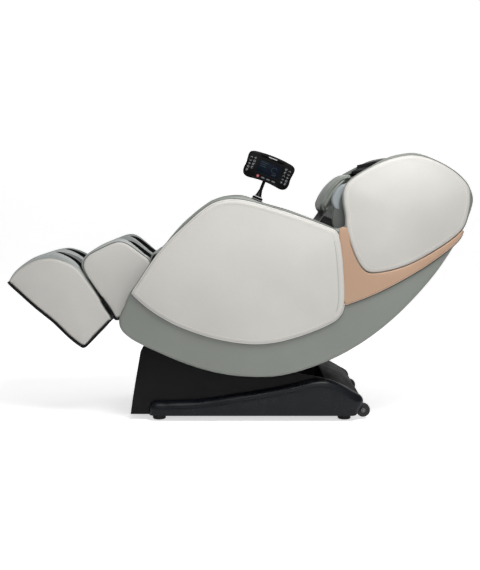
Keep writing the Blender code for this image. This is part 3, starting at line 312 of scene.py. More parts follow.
def catmull(p0, p1, p2, p3, count):
    """Centripetal Catmull-Rom points from p1 up to, not including, p2."""
    t1 = max(1e-6, np.linalg.norm(p1 - p0)) ** 0.5
    t2 = t1 + max(1e-6, np.linalg.norm(p2 - p1)) ** 0.5
    t3 = t2 + max(1e-6, np.linalg.norm(p3 - p2)) ** 0.5
    out = []
    for k in range(count):
        t = t1 + (t2 - t1) * k / count
        a1 = p0 * ((t1 - t) / t1) + p1 * (t / t1)
        a2 = p1 * ((t2 - t) / (t2 - t1)) + p2 * ((t - t1) / (t2 - t1))
        a3 = p2 * ((t3 - t) / (t3 - t2)) + p3 * ((t - t2) / (t3 - t2))
        b1 = a1 * ((t2 - t) / t2) + a2 * (t / t2)
        b2 = a2 * ((t3 - t) / (t3 - t1)) + a3 * ((t - t1) / (t3 - t1))
        out.append(b1 * ((t2 - t) / (t2 - t1)) + b2 * ((t - t1) / (t2 - t1)))
    return out


def curve_through(knots, count):
    """Smooth open curve through every knot, with count points from each knot to the next."""
    knots = [np.asarray(k, float) for k in knots]
    path = []
    padded = [2 * knots[0] - knots[1]] + knots + [2 * knots[-1] - knots[-2]]
    for i in range(len(knots) - 1):
        path += catmull(*padded[i:i + 4], count)
    return np.array(path + [knots[-1]])


def smooth_loop(points, spacing=0.006, corner=38.0, straight=0.11):
    """Round a closed outline through its points, but keep sharp corners and long straight edges."""
    count = len(points)
    heading = np.roll(points, -1, 0) - points
    angle = np.arctan2(heading[:, 1], heading[:, 0])
    turn = np.abs((angle - np.roll(angle, 1) + math.pi) % (2 * math.pi) - math.pi)
    sharp = np.degrees(turn) > corner
    result = []
    for i in range(count):
        p0, p1, p2, p3 = (points[(i + k) % count] for k in (-1, 0, 1, 2))
        length = np.linalg.norm(p2 - p1)
        if sharp[i] or length > straight:
            p0 = 2 * p1 - p2
        if sharp[(i + 1) % count] or length > straight:
            p3 = 2 * p2 - p1
        result += catmull(p0, p1, p2, p3, max(1, int(round(length / spacing))))
    return np.array(result)


def round_corners(points, rounds=3):
    """Soften what corners are left by averaging neighbours where the outline turns hard."""
    for _ in range(rounds):
        before, after = np.roll(points, 1, 0), np.roll(points, -1, 0)
        one, two = points - before, after - points
        one /= np.linalg.norm(one, axis=1)[:, None] + 1e-9
        two /= np.linalg.norm(two, axis=1)[:, None] + 1e-9
        hard = np.clip((1 - np.sum(one * two, 1)) * 6, 0, 1)[:, None]
        points = points * (1 - 0.5 * hard) + (before + after) * 0.25 * hard
    return points


def soften(points, passes):
    """Low-pass filter on a closed outline, for a shape with no corners."""
    for _ in range(passes):
        points = points * 0.5 + (np.roll(points, 1, 0) + np.roll(points, -1, 0)) * 0.25
    return points


def resample(points, count, closed=False):
    """Evenly spaced points along a path."""
    path = np.vstack([points, points[:1]]) if closed else np.asarray(points, float)
    step = np.linalg.norm(np.diff(path, axis=0), axis=1)
    along = np.concatenate([[0], np.cumsum(step)])
    wanted = np.linspace(0, along[-1], count, endpoint=not closed)
    return np.stack([np.interp(wanted, along, path[:, k]) for k in range(path.shape[1])], 1)


def normals_of(points):
    """Inward normals of a closed counter-clockwise outline."""
    along = np.roll(points, -1, 0) - np.roll(points, 1, 0)
    along /= np.linalg.norm(along, axis=1)[:, None] + 1e-9
    return np.stack([-along[:, 1], along[:, 0]], 1)


def inset(outline, distance):
    """Closed outline moved inwards, or outwards when the distance is negative."""
    return outline + normals_of(outline) * distance


def stretch_between(loop, start, end):
    """Points of a closed loop from index start up to index end."""
    return loop[start:end] if start < end else np.vstack([loop[start:], loop[:end]])


def distance_to(points, outline):
    """Distance of each point from a closed outline."""
    ab = np.roll(outline, -1, 0) - outline
    length = np.sum(ab * ab, 1) + 1e-12
    best = np.full(len(points), 1e9)
    for start in range(0, len(points), 2000):
        p = points[start:start + 2000, None, :] - outline[None]
        t = np.clip(np.sum(p * ab[None], 2) / length[None], 0, 1)
        best[start:start + 2000] = np.linalg.norm(p - ab[None] * t[:, :, None], axis=2).min(1)
    return best


def inside(points, outline):
    x, z = points[:, 0], points[:, 1]
    result = np.zeros(len(points), bool)
    for a, b in zip(outline, np.roll(outline, -1, 0)):
        crosses = (a[1] > z) != (b[1] > z)
        result ^= crosses & (x < a[0] + (z - a[1]) * (b[0] - a[0]) / (b[1] - a[1] + 1e-15))
    return result


# ---------------------------------------------------------------- mesh helpers
def add_mesh(name, verts, faces, materials, body, picks=None, sharp=48.0, recalc=True):
    """Smooth-shaded piece with sharp edges above an angle, riding on a body if one is named."""
    mesh = bpy.data.meshes.new(name)
    mesh.from_pydata([tuple(map(float, v)) for v in verts], [], [tuple(map(int, f)) for f in faces])
    for material in materials:
        mesh.materials.append(material)
    if picks is not None:
        mesh.polygons.foreach_set("material_index", np.array(picks, np.int32))
    if recalc:
        data = bmesh.new()
        data.from_mesh(mesh)
        bmesh.ops.recalc_face_normals(data, faces=data.faces)
        data.to_mesh(mesh)
        data.free()
    mesh.shade_smooth()
    mesh.set_sharp_from_angle(angle=math.radians(sharp))
    piece = bpy.data.objects.new(name, mesh)
    bpy.context.scene.collection.objects.link(piece)
    if body:
        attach(piece, body)
    return piece


def stand_for(piece, slot, *nodes):
    """The piece shows instead of these CAD nodes; the slot name is not used."""
    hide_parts(*nodes)
    return piece


def loft(rings, joined=False):
    """Skin over equal closed rings of points: its two ends are capped, or joined to each other."""
    count, size = len(rings), len(rings[0])
    verts = [tuple(p) for ring in rings for p in ring]
    faces = []
    for r in range(count if joined else count - 1):
        one, two = r * size, (r + 1) % count * size
        for k in range(size):
            m = (k + 1) % size
            faces.append((one + k, one + m, two + m, two + k))
    if not joined:
        faces.append(tuple(range(size))[::-1])
        faces.append(tuple((count - 1) * size + k for k in range(size)))
    return verts, faces


def merged(solids):
    """Several (vertices, faces) as one."""
    verts, faces = [], []
    for points, sides in solids:
        faces += [tuple(i + len(verts) for i in side) for side in sides]
        verts += points
    return verts, faces


def sheet(name, upper, lower, material, body):
    """Closed thin sheet between two equal grids of points."""
    rows, cols = len(upper), len(upper[0])
    size = rows * cols
    verts = [p for grid in (upper, lower) for row in grid for p in row]
    faces = []
    for i in range(rows - 1):
        for j in range(cols - 1):
            a = i * cols + j
            quad = (a, a + 1, a + cols + 1, a + cols)
            faces += [quad, tuple(size + k for k in quad[::-1])]
    edge = list(range(cols)) + [i * cols + cols - 1 for i in range(1, rows)]
    edge += [(rows - 1) * cols + j for j in range(cols - 2, -1, -1)]
    edge += [i * cols for i in range(rows - 2, 0, -1)]
    for a, b in zip(edge, edge[1:] + edge[:1]):
        faces.append((a, b, b + size, a + size))
    return add_mesh(name, verts, faces, [material], body)


def padded_panel(name, outline, side, base, depth, roll, crown, material, body="body", spread=0.09,
                 step=0.02, rolled=None):
    """Upholstered panel: a rolled edge, then a slow crown towards the middle.

    The roll is measured from the outline, or from another one that leaves some edges square.
    """
    turns = 5 if roll < 0.018 else 10
    rings = [roll * (1 - math.cos(math.pi / 2 * k / turns)) for k in range(1, turns + 1)]
    rings = [r for r in rings if r > 0.0008] + [roll * 1.5, roll * 2.2, roll * 3.2]
    layers = [outline]
    for distance in rings:
        moved = inset(outline, distance)
        keep = (distance_to(moved, outline) > distance * 0.93) & inside(moved, outline)
        layers.append(moved[keep][::1 if distance < roll * 1.1 else 2])
    low, high = outline.min(0), outline.max(0)
    xs = np.arange(low[0], high[0], step)
    zs = np.arange(low[1], high[1], step)
    grid = np.array([(x + (j % 2) * step / 2, z) for j, z in enumerate(zs) for x in xs])
    grid = grid[inside(grid, outline)]
    layers.append(grid[distance_to(grid, outline) > roll * 3.2 + step * 0.6])
    made = delaunay_2d_cdt([Vector(p) for p in np.vstack(layers)], [], [list(range(len(outline)))], 1, 1e-6)
    points = np.array([tuple(v) for v in made[0]])
    gap = distance_to(points, outline if rolled is None else rolled)
    curve = np.sqrt(np.clip(1 - (1 - np.clip(gap / roll, 0, 1)) ** 2, 0, 1))
    reach = min(roll, depth)
    lift = depth - reach + reach * curve + crown * (1 - np.exp(-(gap / spread) ** 1.3))
    verts = [(p[0], side * (base + h), p[1]) for p, h in zip(points, lift)]
    faces = [list(f) for f in made[2]]
    rim = boundary_loop(faces)
    back, count = len(verts), len(rim)
    verts += [(verts[i][0], side * base, verts[i][2]) for i in rim]
    for k in range(count):
        m = (k + 1) % count
        faces.append([rim[k], rim[m], back + m, back + k])
    faces.append([back + k for k in range(count)][::-1])
    return add_mesh(name, verts, faces, [material], body)


def boundary_loop(faces):
    """The corners around a patch of faces, in order."""
    edges = {(a, b) for face in faces for a, b in zip(face, face[1:] + face[:1])}
    follow = {a: b for face in faces for a, b in zip(face, face[1:] + face[:1]) if (b, a) not in edges}
    loop = [next(iter(follow))]
    while follow[loop[-1]] != loop[0]:
        loop.append(follow[loop[-1]])
    return loop


def cross_axes(path, closed):
    """Unit directions along a path and across it, at every point."""
    ahead = np.roll(path, -1, 0) - np.roll(path, 1, 0)
    if not closed:
        ahead[0] = path[1] - path[0]
        ahead[-1] = path[-1] - path[-2]
    ahead /= np.linalg.norm(ahead, axis=1)[:, None] + 1e-12
    guide = np.array([0.0, 1.0, 0.0])
    if np.abs(ahead @ guide).mean() > 0.8:
        guide = np.array([1.0, 0.0, 0.0])
    side = np.cross(ahead, guide)
    side /= np.linalg.norm(side, axis=1)[:, None] + 1e-12
    return ahead, side, np.cross(side, ahead)


def circle(side, up, radius, sides):
    angles = [2 * math.pi * k / sides for k in range(sides)]
    return [(side * math.cos(angle) + up * math.sin(angle)) * radius for angle in angles]


def tube(name, path, radius, material, body="body", closed=True, sides=8):
    """Round bead, such as piping or a seam, swept along a path."""
    path = np.asarray(path, float)
    _, side, up = cross_axes(path, closed)
    rings = [[p + q for q in circle(s, u, radius, sides)] for p, s, u in zip(path, side, up)]
    return add_mesh(name, *loft(rings, closed), [material], body, sharp=60)


STITCH_ENDS = ((-0.5, 0.35), (-0.32, 1.0), (0.32, 1.0), (0.5, 0.35))    # (share of length, of thickness)


def stitches(name, path, material, body="body", spacing=0.0062, length=0.0042, radius=0.00055):
    """A row of separate thread stitches lying along a closed path."""
    total = np.linalg.norm(np.diff(np.vstack([path, path[:1]]), axis=0), axis=1).sum()
    spots = resample(path, max(2, int(total / spacing)), True)
    solids = []
    for spot, ahead, side, up in zip(spots, *cross_axes(spots, True)):
        solids.append(loft([
            [spot + ahead * (reach * length) + q for q in circle(side, up, radius * size, 5)]
            for reach, size in STITCH_ENDS
        ]))
    return add_mesh(name, *merged(solids), [material], body, sharp=70)


def lift_path(path, side, level):
    return np.array([(x, side * level, z) for x, z in path])


def lathe(name, centre, axis, profile, material, body, sides=40):
    """Turned part: profile of (distance along axis, radius)."""
    axis = Vector(axis).normalized()
    one = axis.orthogonal().normalized()
    two = axis.cross(one)
    rings = [[Vector(centre) + axis * distance + q for q in circle(one, two, max(radius, 1e-5), sides)]
             for distance, radius in profile]
    return add_mesh(name, *loft(rings), [material], body, sharp=35)


def finish_nodes(material, bevel, segments, *nodes):
    """Carry CAD nodes over with their own material and softened edges."""
    for node in nodes:
        piece = frame["nodes"][node]
        piece.data.materials.clear()
        piece.data.materials.append(material)
        piece.data.shade_smooth()
        piece.modifiers.new("weld", "WELD").merge_threshold = 0.00005
        edge = piece.modifiers.new("edges", "BEVEL")
        edge.width = bevel
        edge.segments = segments
        edge.limit_method = "ANGLE"
        edge.angle_limit = math.radians(32)
        piece.modifiers.new("smooth", "EDGE_SPLIT").split_angle = math.radians(38)


# ---------------------------------------------------------------- side panels
PANEL_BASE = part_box("arm_panel_right")[0].y
SHELL_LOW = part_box("side_shell_right")[0].y
SHELL_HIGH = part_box("side_shell_right")[1].y


def outline_at_flat_face(node, corner=38.0, spacing=0.006, rounds=3):
    """Outline of a side piece, read from its face without rounding: the outer one on a pad."""
    levels = sorted((limit.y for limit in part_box(node)), key=abs)
    level = levels[-1] if node.startswith(("arm_pad", "shoulder_pad")) else levels[0]
    return round_corners(smooth_loop(cap_outline(node, level), spacing, corner), rounds)


def thickness_of(node):
    """Level of the outer face of a pad on the right side, and its thickness."""
    low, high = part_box(node)
    return high.y, high.y - low.y


def build_shells():
    """Grey side shells: one long crescent that also frames the head pod."""
    outline = outline_at_flat_face("side_shell_right", 50.0, 0.007)
    for side, tag in SIDES:
        piece = padded_panel(f"shell_skin_{tag}", outline, side, SHELL_LOW, SHELL_HIGH - SHELL_LOW, 0.012,
                             0.0, GREY, step=0.03)
        stand_for(piece, "grey_shell", f"side_shell_{tag}")


def build_arm_panels():
    """White arm panels with a bead in paler leather as a painted highlight, a dark seam, a rear seam and a
    stitched edge.
    """
    outline = outline_at_flat_face("arm_panel_right", rounds=1)
    behind = outline[:, 0] > outline[:, 0].max() - 0.020
    rear = inset(outline, 0.022)[behind & (outline[:, 1] > outline[:, 1].min() + 0.10)]
    for side, tag in SIDES:
        piece = padded_panel(f"arm_skin_{tag}", outline, side, PANEL_BASE, 0.013, 0.009, 0.017, WHITE,
                             spread=0.11)
        stand_for(piece, "white_leather", f"arm_panel_{tag}")
        bead = lift_path(inset(outline, -0.0006), side, PANEL_BASE + 0.0022)
        # the bead is real piping; its paler leather is a painted highlight along the panel's edge
        tube(f"arm_highlight_bead_{tag}", bead[::2], 0.0022, WHITE_BEAD_HIGHLIGHT)
        seam = lift_path(inset(outline, -0.0036), side, PANEL_BASE + 0.0002)
        tube(f"arm_seam_{tag}", seam[::2], 0.0014, GREY_SEAM)
        tube(f"arm_rear_seam_{tag}", lift_path(rear, side, PANEL_BASE + 0.0150), 0.0011, GREY_PALE,
             closed=False)
        row = lift_path(inset(outline, 0.0130), side, PANEL_BASE + 0.0152)
        stitches(f"arm_stitch_{tag}", row, THREAD_WHITE)


def build_accents():
    """Bronze trim between the arm panel and the shell, with a bead in paler bronze along its lower edge as
    a painted highlight.
    """
    outline = outline_at_flat_face("accent_panel_right", 40.0, rounds=1)
    near_arm = np.clip((outline[:, 0].min() + 0.035 - outline[:, 0]) / 0.010, 0, 1)
    outline = inset(outline, -0.0060 * near_arm[:, None])
    left, low = outline.min(0)
    start = int(np.argmin(np.hypot(outline[:, 0] - left - 0.018, outline[:, 1] - low)))
    tip = int(np.argmax(outline[:, 0]))
    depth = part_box("accent_panel_right")[1].y - PANEL_BASE
    bead = stretch_between(inset(outline, -0.0004), start, tip)
    seam = stretch_between(inset(outline, -0.0036), start, tip)
    for side, tag in SIDES:
        piece = padded_panel(f"accent_skin_{tag}", outline, side, PANEL_BASE, depth - 0.004, 0.004, 0.004,
                             BRONZE, spread=0.04, step=0.015)
        stand_for(piece, "bronze_trim", f"accent_panel_{tag}")
        # the bead is real piping; its paler bronze is a painted highlight along the trim's lower edge
        tube(f"accent_highlight_bead_{tag}", lift_path(bead, side, PANEL_BASE + 0.0030), 0.0021, BRONZE_BEAD_HIGHLIGHT,
             closed=False)
        tube(f"accent_seam_{tag}", lift_path(seam, side, PANEL_BASE + 0.0003), 0.0016, BLACK_SEAM,
             closed=False)


def build_pods():
    """White head pods: swollen outer skins with a stitched edge and a grey seam, lined black inside."""
    drawn = outline_at_flat_face("head_pod_right", 60.0)
    outline = inset(soften(drawn, 10), -0.0020)
    lining = resample(inset(soften(drawn, 16), 0.007), 150, True)
    for side, tag in SIDES:
        piece = padded_panel(f"pod_skin_{tag}", outline, side, PANEL_BASE, 0.010, 0.010, 0.034, WHITE)
        stand_for(piece, "white_leather", f"head_pod_{tag}")
        seam = lift_path(inset(outline, -0.0016), side, PANEL_BASE + 0.0004)
        tube(f"pod_seam_{tag}", seam[::2], 0.0017, GREY)
        row = lift_path(inset(outline, 0.0150), side, PANEL_BASE + 0.0135)
        stitches(f"pod_stitch_{tag}", row, THREAD_WHITE)
        padded_panel(f"pod_lining_{tag}", lining, -side, 0.0006 - SHELL_LOW, 0.004, 0.004, 0.010, LINER,
                     spread=0.05)


def build_arm_linings():
    """Black padded linings on the inner faces of the arms."""
    outline = outline_at_flat_face("arm_pad_right", 50.0, 0.010)
    outer, depth = thickness_of("arm_pad_right")
    row = resample(inset(outline, 0.030), 320, True)
    for side, tag in SIDES:
        piece = padded_panel(f"arm_lining_{tag}", outline, -side, -outer, depth - 0.006, 0.016, 0.005,
                             BLACK_LEATHER, spread=0.07)
        stand_for(piece, "black_fabric", f"arm_pad_{tag}")
        stitches(f"arm_lining_stitch_{tag}", lift_path(row, side, outer - depth + 0.0058), THREAD_GREY,
                 spacing=0.0070, length=0.0046, radius=0.0006)


SHOULDER_BAND = [(0.402, 0.8500), (0.3700, 0.8420), (0.3456, 0.8180), (0.3345, 0.7860), (0.3450, 0.7590),
                 (0.3640, 0.7520), (0.3640, 0.7800), (0.3760, 0.8150)]


def build_shoulder_pads():
    """Dark shoulder pads, each with piping and a blue-grey band that shows under the head pod."""
    outline = outline_at_flat_face("shoulder_pad_right", 60.0, 0.008)
    outer, depth = thickness_of("shoulder_pad_right")
    band = turned_left(smooth_loop(np.array(SHOULDER_BAND), 0.004, 70.0))
    piping = inset(outline, 0.0006)[::2]
    for side, tag in SIDES:
        piece = padded_panel(f"shoulder_skin_{tag}", outline, -side, -outer, depth - 0.008, 0.020, 0.007,
                             SHADOW_GREY, spread=0.05, step=0.015)
        stand_for(piece, "grey_fabric", f"shoulder_pad_{tag}")
        padded_panel(f"shoulder_band_{tag}", band, side, outer - 0.034, 0.036, 0.008, 0.001, GREY_BLUE,
                     step=0.01)
        tube(f"shoulder_piping_{tag}", lift_path(piping, side, outer - depth * 0.42), 0.0028, GREY)


# ---------------------------------------------------------------- rear shell
LIP_BACK = 0.245                        # from the rear of the shell to the end of its lined front lip
COVER_STEPS = 199                       # steps along the cover's outer line
VENT_ROWS, VENT_START, VENT_PITCH = 7, 0.24, 0.018      # along the outer line, as shares of it


def cover_line(outline):
    """Outer line of the back cover from its low front edge up and over the head, with its normals."""
    low, top = int(np.argmin(outline[:, 1])), int(np.argmax(outline[:, 1]))
    line = stretch_between(outline, low, top)
    if line[len(line) // 2, 0] < outline[:, 0].mean():
        line = outline[top:low][::-1]
    line = resample(line, COVER_STEPS + 1)
    along = np.gradient(line, axis=0)
    out = np.stack([along[:, 1], -along[:, 0]], 1)
    return line, out / np.linalg.norm(out, axis=1)[:, None]


def build_rear_shell():
    """Curved back cover: smooth skin, pressed lines, a framed vent field and screws."""
    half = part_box("rear_shell")[1].y
    outline = smooth_loop(cap_outline("rear_shell", half), 0.008, 50.0)
    rings = []
    for y in (-half, -half + 0.002, -0.2, -0.1, 0.0, 0.1, 0.2, half - 0.002, half):
        ring = inset(outline, 0.002 if abs(y) == half else 0.0)
        rings.append([(p[0], y, p[1]) for p in ring])
    piece = stand_for(add_mesh("rear_skin", *loft(rings), [GREY], "body"), "grey_shell", "rear_shell")
    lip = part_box("rear_shell")[1].x - LIP_BACK
    pick_faces(piece, LINER, lambda c, n: c.x < lip and c.z > outline[:, 1].mean())
    line, out = cover_line(outline)

    def spot(t, y, lift):
        i = int(np.clip(t * COVER_STEPS, 0, COVER_STEPS))
        p = line[i] + out[i] * lift
        return (p[0], y, p[1])

    def pressed(name, places, lift, radius, material):
        tube(name, [spot(t, y, lift) for t, y in places], radius, material, closed=False)

    for side, tag in SIDES:
        groove = [(t, side * 0.225) for t in np.linspace(0.03, 0.90, 90)]
        pressed(f"rear_groove_{tag}", groove, 0.0006, 0.0014, GREY_SEAM)
    for index, t in enumerate((0.16, 0.66)):
        joint = [(t, y) for y in np.linspace(-half + 0.004, half - 0.004, 30)]
        pressed(f"rear_joint_{index}", joint, 0.0006, 0.0012, GREY_SEAM)
    for row in range(VENT_ROWS):
        for tag, y0, y1 in (("left", -0.150, -0.030), ("right", 0.030, 0.150)):
            slot = [(VENT_START + row * VENT_PITCH, y) for y in np.linspace(y0, y1, 12)]
            pressed(f"rear_vent_{row}_{tag}", slot, 0.0008, 0.0030, BLACK_SEAM)
    around = [(0.215, y) for y in np.linspace(-0.170, 0.170, 20)]
    around += [(t, 0.170) for t in np.linspace(0.22, 0.37, 16)]
    around += [(0.375, y) for y in np.linspace(0.170, -0.170, 20)]
    around += [(t, -0.170) for t in np.linspace(0.37, 0.22, 16)]
    tube("rear_vent_frame", [spot(t, y, 0.0010) for t, y in around], 0.0024, GREY)
    for index, (t, y) in enumerate((t, y) for t in (0.06, 0.5, 0.9) for y in (-0.26, 0.26)):
        normal = out[int(t * COVER_STEPS)]
        lathe(f"rear_screw_{index}", spot(t, y, -0.001), (normal[0], 0, normal[1]),
              [(0, 0.0052), (0.0020, 0.0052), (0.0030, 0.0040), (0.0030, 0.0018), (0.0016, 0.0016),
               (0.0016, 0.0)],
              BLACK_SATIN, "body", 24)


def build_head_liner():
    """Black padded sheet from the back cushion's top to the shell's front lip, under the pods."""
    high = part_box("back_cushion")[1]
    shell_low, shell_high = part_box("rear_shell")
    half = shell_high.y - 0.006
    path = resample(curve_through([(high.x + 0.004, high.z - 0.018), (high.x + 0.120, high.z - 0.050),
                                   (shell_low.x + 0.18, shell_high.z - 0.024)], 12), 36)
    upper, lower = [], []
    for i, p in enumerate(path):
        puffs = [(y, 0.010 * (1 - (abs(y) / half) ** 4) * math.sin(math.pi * i / (len(path) - 1)))
                 for y in np.linspace(-half, half, 41)]
        upper.append([(p[0] - 0.4 * puff, y, p[1] + puff) for y, puff in puffs])
        lower.append([(p[0] - 0.4 * puff, y, p[1] - 0.012) for y, puff in puffs])
    sheet("head_liner", upper, lower, LINER, "body")


# ---------------------------------------------------------------- simulated cushions
SIMULATED_FRAMES = 20


def values(mesh, key="co"):
    """A mesh's vertex positions or normals as rows of numbers."""
    data = np.zeros(len(mesh.vertices) * 3)
    mesh.vertices.foreach_get(key, data)
    return data.reshape(-1, 3)


def place_points(piece, points):
    piece.data.vertices.foreach_set("co", points.ravel())
    piece.data.update()


def push(piece, amount):
    """Move every vertex along its normal."""
    place_points(piece, values(piece.data) + values(piece.data, "normal") * amount[:, None])


def bake(piece):
    """Apply a piece's modifiers."""
    mesh = bpy.data.meshes.new_from_object(piece.evaluated_get(bpy.context.evaluated_depsgraph_get()))
    piece.modifiers.clear()
    piece.data = mesh
    mesh.shade_smooth()


def pick_faces(piece, material, test):
    """Give the faces whose centre passes the test another material."""
    piece.data.materials.append(material)
    index = len(piece.data.materials) - 1
    for face in piece.data.polygons:
        if test(face.center, face.normal):
            face.material_index = index


def swell(piece, start, cap):
    """Blow the piece up with a short cloth simulation; no point moves further than the cap."""
    cloth = piece.modifiers.new("cloth", "CLOTH")
    cloth.settings.use_pressure = True
    cloth.settings.uniform_pressure_force = 4.0
    cloth.settings.effector_weights.gravity = 0.0
    cloth.settings.quality = 5
    cloth.settings.tension_stiffness = 15
    cloth.settings.compression_stiffness = 15
    cloth.settings.bending_stiffness = 0.6
    for step in range(1, SIMULATED_FRAMES + 1):
        bpy.context.scene.frame_set(step)
    after = values(piece.evaluated_get(bpy.context.evaluated_depsgraph_get()).data)
    piece.modifiers.remove(cloth)
    bpy.context.scene.frame_set(1)
    move = after - start
    move *= np.minimum(1.0, cap / (np.linalg.norm(move, axis=1)[:, None] + 1e-9))
    place_points(piece, start + move)


def inflate(name, node, material, slot, cap, shrink, voxel=0.006):
    """Copy of a CAD cushion, remeshed and swollen by a short cloth simulation."""
    mesh = frame["nodes"][node].data.copy()
    mesh.name = name
    piece = bpy.data.objects.new(name, mesh)
    bpy.context.scene.collection.objects.link(piece)
    mesh.materials.clear()
    mesh.materials.append(material)
    data = bmesh.new()
    data.from_mesh(mesh)
    bmesh.ops.remove_doubles(data, verts=data.verts, dist=0.00005)
    data.to_mesh(mesh)
    data.free()
    remesh = piece.modifiers.new("remesh", "REMESH")
    remesh.mode = "VOXEL"
    remesh.voxel_size = voxel
    bake(piece)
    start = values(piece.data) - values(piece.data, "normal") * shrink
    place_points(piece, start)
    swell(piece, start, cap)
    smooth = piece.modifiers.new("even", "SMOOTH")
    smooth.iterations = 6
    smooth.factor = 0.5
    finer = piece.modifiers.new("finer", "SUBSURF")
    finer.levels = 1
    finer.render_levels = 1
    bake(piece)
    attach(piece, frame["nodes"][node]["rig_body"])
    return stand_for(piece, slot, node)


def seam_at(offset, width=0.005):
    """Depth of a sewn seam, from each point's offset across it."""
    return np.exp(-(offset / width) ** 2)


BACK_UP = Vector(JOINTS["massage_travel"]["axis"]).normalized()
BACK_FRONT = Vector((-BACK_UP.z, 0.0, BACK_UP.x))
UP_ROW, FRONT_ROW = np.array(BACK_UP), np.array(BACK_FRONT)
SEAT_HALF, BACK_HALF = 0.105, 0.118     # half widths of the quilted middle panels


def build_seat():
    """Black seat cushion with a quilted mesh panel between two leather bolsters."""
    piece = inflate("seat_cover", "seat_cushion", BLACK_LEATHER, "black_fabric", 0.024, 0.005)
    co = values(piece.data)
    low, high = co.min(0), co.max(0)
    top = np.clip((values(piece.data, "normal")[:, 2] - 0.2) / 0.4, 0, 1)
    depth = seam_at(co[:, 1] + SEAT_HALF) + seam_at(co[:, 1] - SEAT_HALF)
    depth += seam_at(co[:, 0] - low[0] - 0.055)
    for k in range(1, 5):
        x = low[0] + (high[0] - low[0]) * (0.10 + 0.18 * k)
        depth += seam_at(co[:, 0] - x) * (np.abs(co[:, 1]) < SEAT_HALF)
    push(piece, -0.007 * np.clip(depth, 0, 1.1) * top)
    pick_faces(piece, BLACK_MESH, lambda c, n: n.z > 0.4 and abs(c.y) < 0.104 and c.x > low[0] + 0.06)


def build_back():
    """Black back cushion: quilted mesh in the middle, grey bolsters beside the head."""
    piece = inflate("back_cover", "back_cushion", BLACK_LEATHER, "black_fabric", 0.022, 0.006)
    # the rollers run close behind, so the rear stays inside the cushion's drawn thickness
    rear = (values(frame["nodes"]["back_cushion"].data) @ FRONT_ROW).min() + 0.001
    co = values(piece.data)
    co += np.clip(rear - co @ FRONT_ROW, 0, None)[:, None] * FRONT_ROW
    place_points(piece, co)
    along = co @ UP_ROW
    along -= along.min()
    facing = np.clip((values(piece.data, "normal") @ FRONT_ROW - 0.2) / 0.4, 0, 1)
    depth = seam_at(co[:, 1] + BACK_HALF) + seam_at(co[:, 1] - BACK_HALF)
    for k in range(1, 6):
        depth += seam_at(along - 0.075 * k) * (np.abs(co[:, 1]) < BACK_HALF)
    push(piece, -0.008 * np.clip(depth, 0, 1.1) * facing)
    pick_faces(piece, BLACK_MESH, lambda c, n: n.dot(BACK_FRONT) > 0.4 and abs(c.y) < 0.117)
    pick_faces(piece, SHADOW_GREY, lambda c, n: abs(c.y) > 0.150 and c.z > 0.871 - 0.44 * c.x)


PILLOW_PRESS, PILLOW_STRETCH = 0.76, 1.07    # across and along the back cushion
PILLOW_FOOT = 0.270                     # lower end of the pillow, up the back cushion's face


def seat_pillow(points):
    """Press the pillow against the back cushion and stretch it upwards a little."""
    back = values(frame["nodes"]["back_cushion"].data)
    face = UP_ROW * (back @ UP_ROW).min() + FRONT_ROW * (back @ FRONT_ROW).max()
    across, along = (points - face) @ FRONT_ROW, (points - face) @ UP_ROW
    across_move = np.clip(across, 0, None) * (PILLOW_PRESS - 1)
    along_move = np.clip(along - PILLOW_FOOT, 0, None) * (PILLOW_STRETCH - 1)
    return points + across_move[:, None] * FRONT_ROW + along_move[:, None] * UP_ROW


def pillow_outline():
    """XZ outline of the drawn pillow, from the ring of points near its right end."""
    co = np.array([v.co for v in frame["nodes"]["head_pillow"].data.vertices])
    ring = co[(co[:, 1] > 0.12) & (co[:, 1] < 0.14)]
    points = np.unique(np.round(ring[:, [0, 2]], 5), axis=0)
    middle = points.mean(0)
    order = np.argsort(np.arctan2(points[:, 1] - middle[1], points[:, 0] - middle[0]))
    return points[order]


def build_pillow():
    """Grey head pillow with sewn ends and two seams across it."""
    piece = inflate("pillow_cover", "head_pillow", GREY, "grey_fabric", 0.010, 0.009, voxel=0.005)
    co = seat_pillow(values(piece.data))
    piece.data.vertices.foreach_set("co", co.ravel())
    flat = pillow_outline()
    flat = seat_pillow(np.stack([flat[:, 0], flat[:, 0] * 0.0, flat[:, 1]], 1))[:, [0, 2]]
    outline = smooth_loop(flat, 0.008, 60.0)
    inner = inset(outline, 0.018)
    end = np.clip((np.abs(values(piece.data, "normal")[:, 1]) - 0.35) / 0.4, 0, 1)
    push(piece, -0.004 * seam_at(distance_to(co[:, [0, 2]], inner), 0.004) * end)
    line = inner[inner[:, 0] < outline[:, 0].max() - 0.03]
    start = int(np.argmax(np.linalg.norm(np.roll(line, -1, 0) - line, axis=1))) + 1
    line = np.roll(line, -start, 0)
    for side, tag in SIDES:
        path = lift_path(line, side, np.abs(co[:, 1]).max() - 0.013)
        tube(f"pillow_seam_{tag}", path, 0.0013, GREY_SEAM, closed=False)
    for y in (-0.055, 0.055):
        push(piece, -0.004 * seam_at(co[:, 1] - y, 0.004))


# ---------------------------------------------------------------- leg rest
LEG_OUT = np.array(JOINTS["footrest_extend"]["axis"])[[0, 2]]
LEG_OUT = LEG_OUT / np.linalg.norm(LEG_OUT)
LEG_UP = np.array([LEG_OUT[1], -LEG_OUT[0]])
KNEE = np.array(JOINTS["legrest_lift"]["pos_m"])[[0, 2]]
UNIT_IN = abs(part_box("calf_side_panel_right")[0].y)
UNIT_OUT = abs(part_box("calf_side_panel_right")[1].y)
WELL_IN = abs(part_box("calf_pad_right")[0].y)
WELL_OUT = abs(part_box("calf_pad_right")[1].y)
BLOCK_HALF = UNIT_IN - 0.0006
RIB_EDGE, WALL_EDGE = 4, 17             # stations of trough_rows at a well's two upper edges
LINED_FROM, LINED_TO = 5, 16            # stations between which the black lining shows
CREST = 0.004                           # how far the ribs and walls round off towards their edges
RIDGE_RISE = 0.010
CALF_TIP = 0.050                        # from the calf unit's front to the end of its wells
FOOT_TIP = 0.155                        # from the toe end to the tip of the foot wells
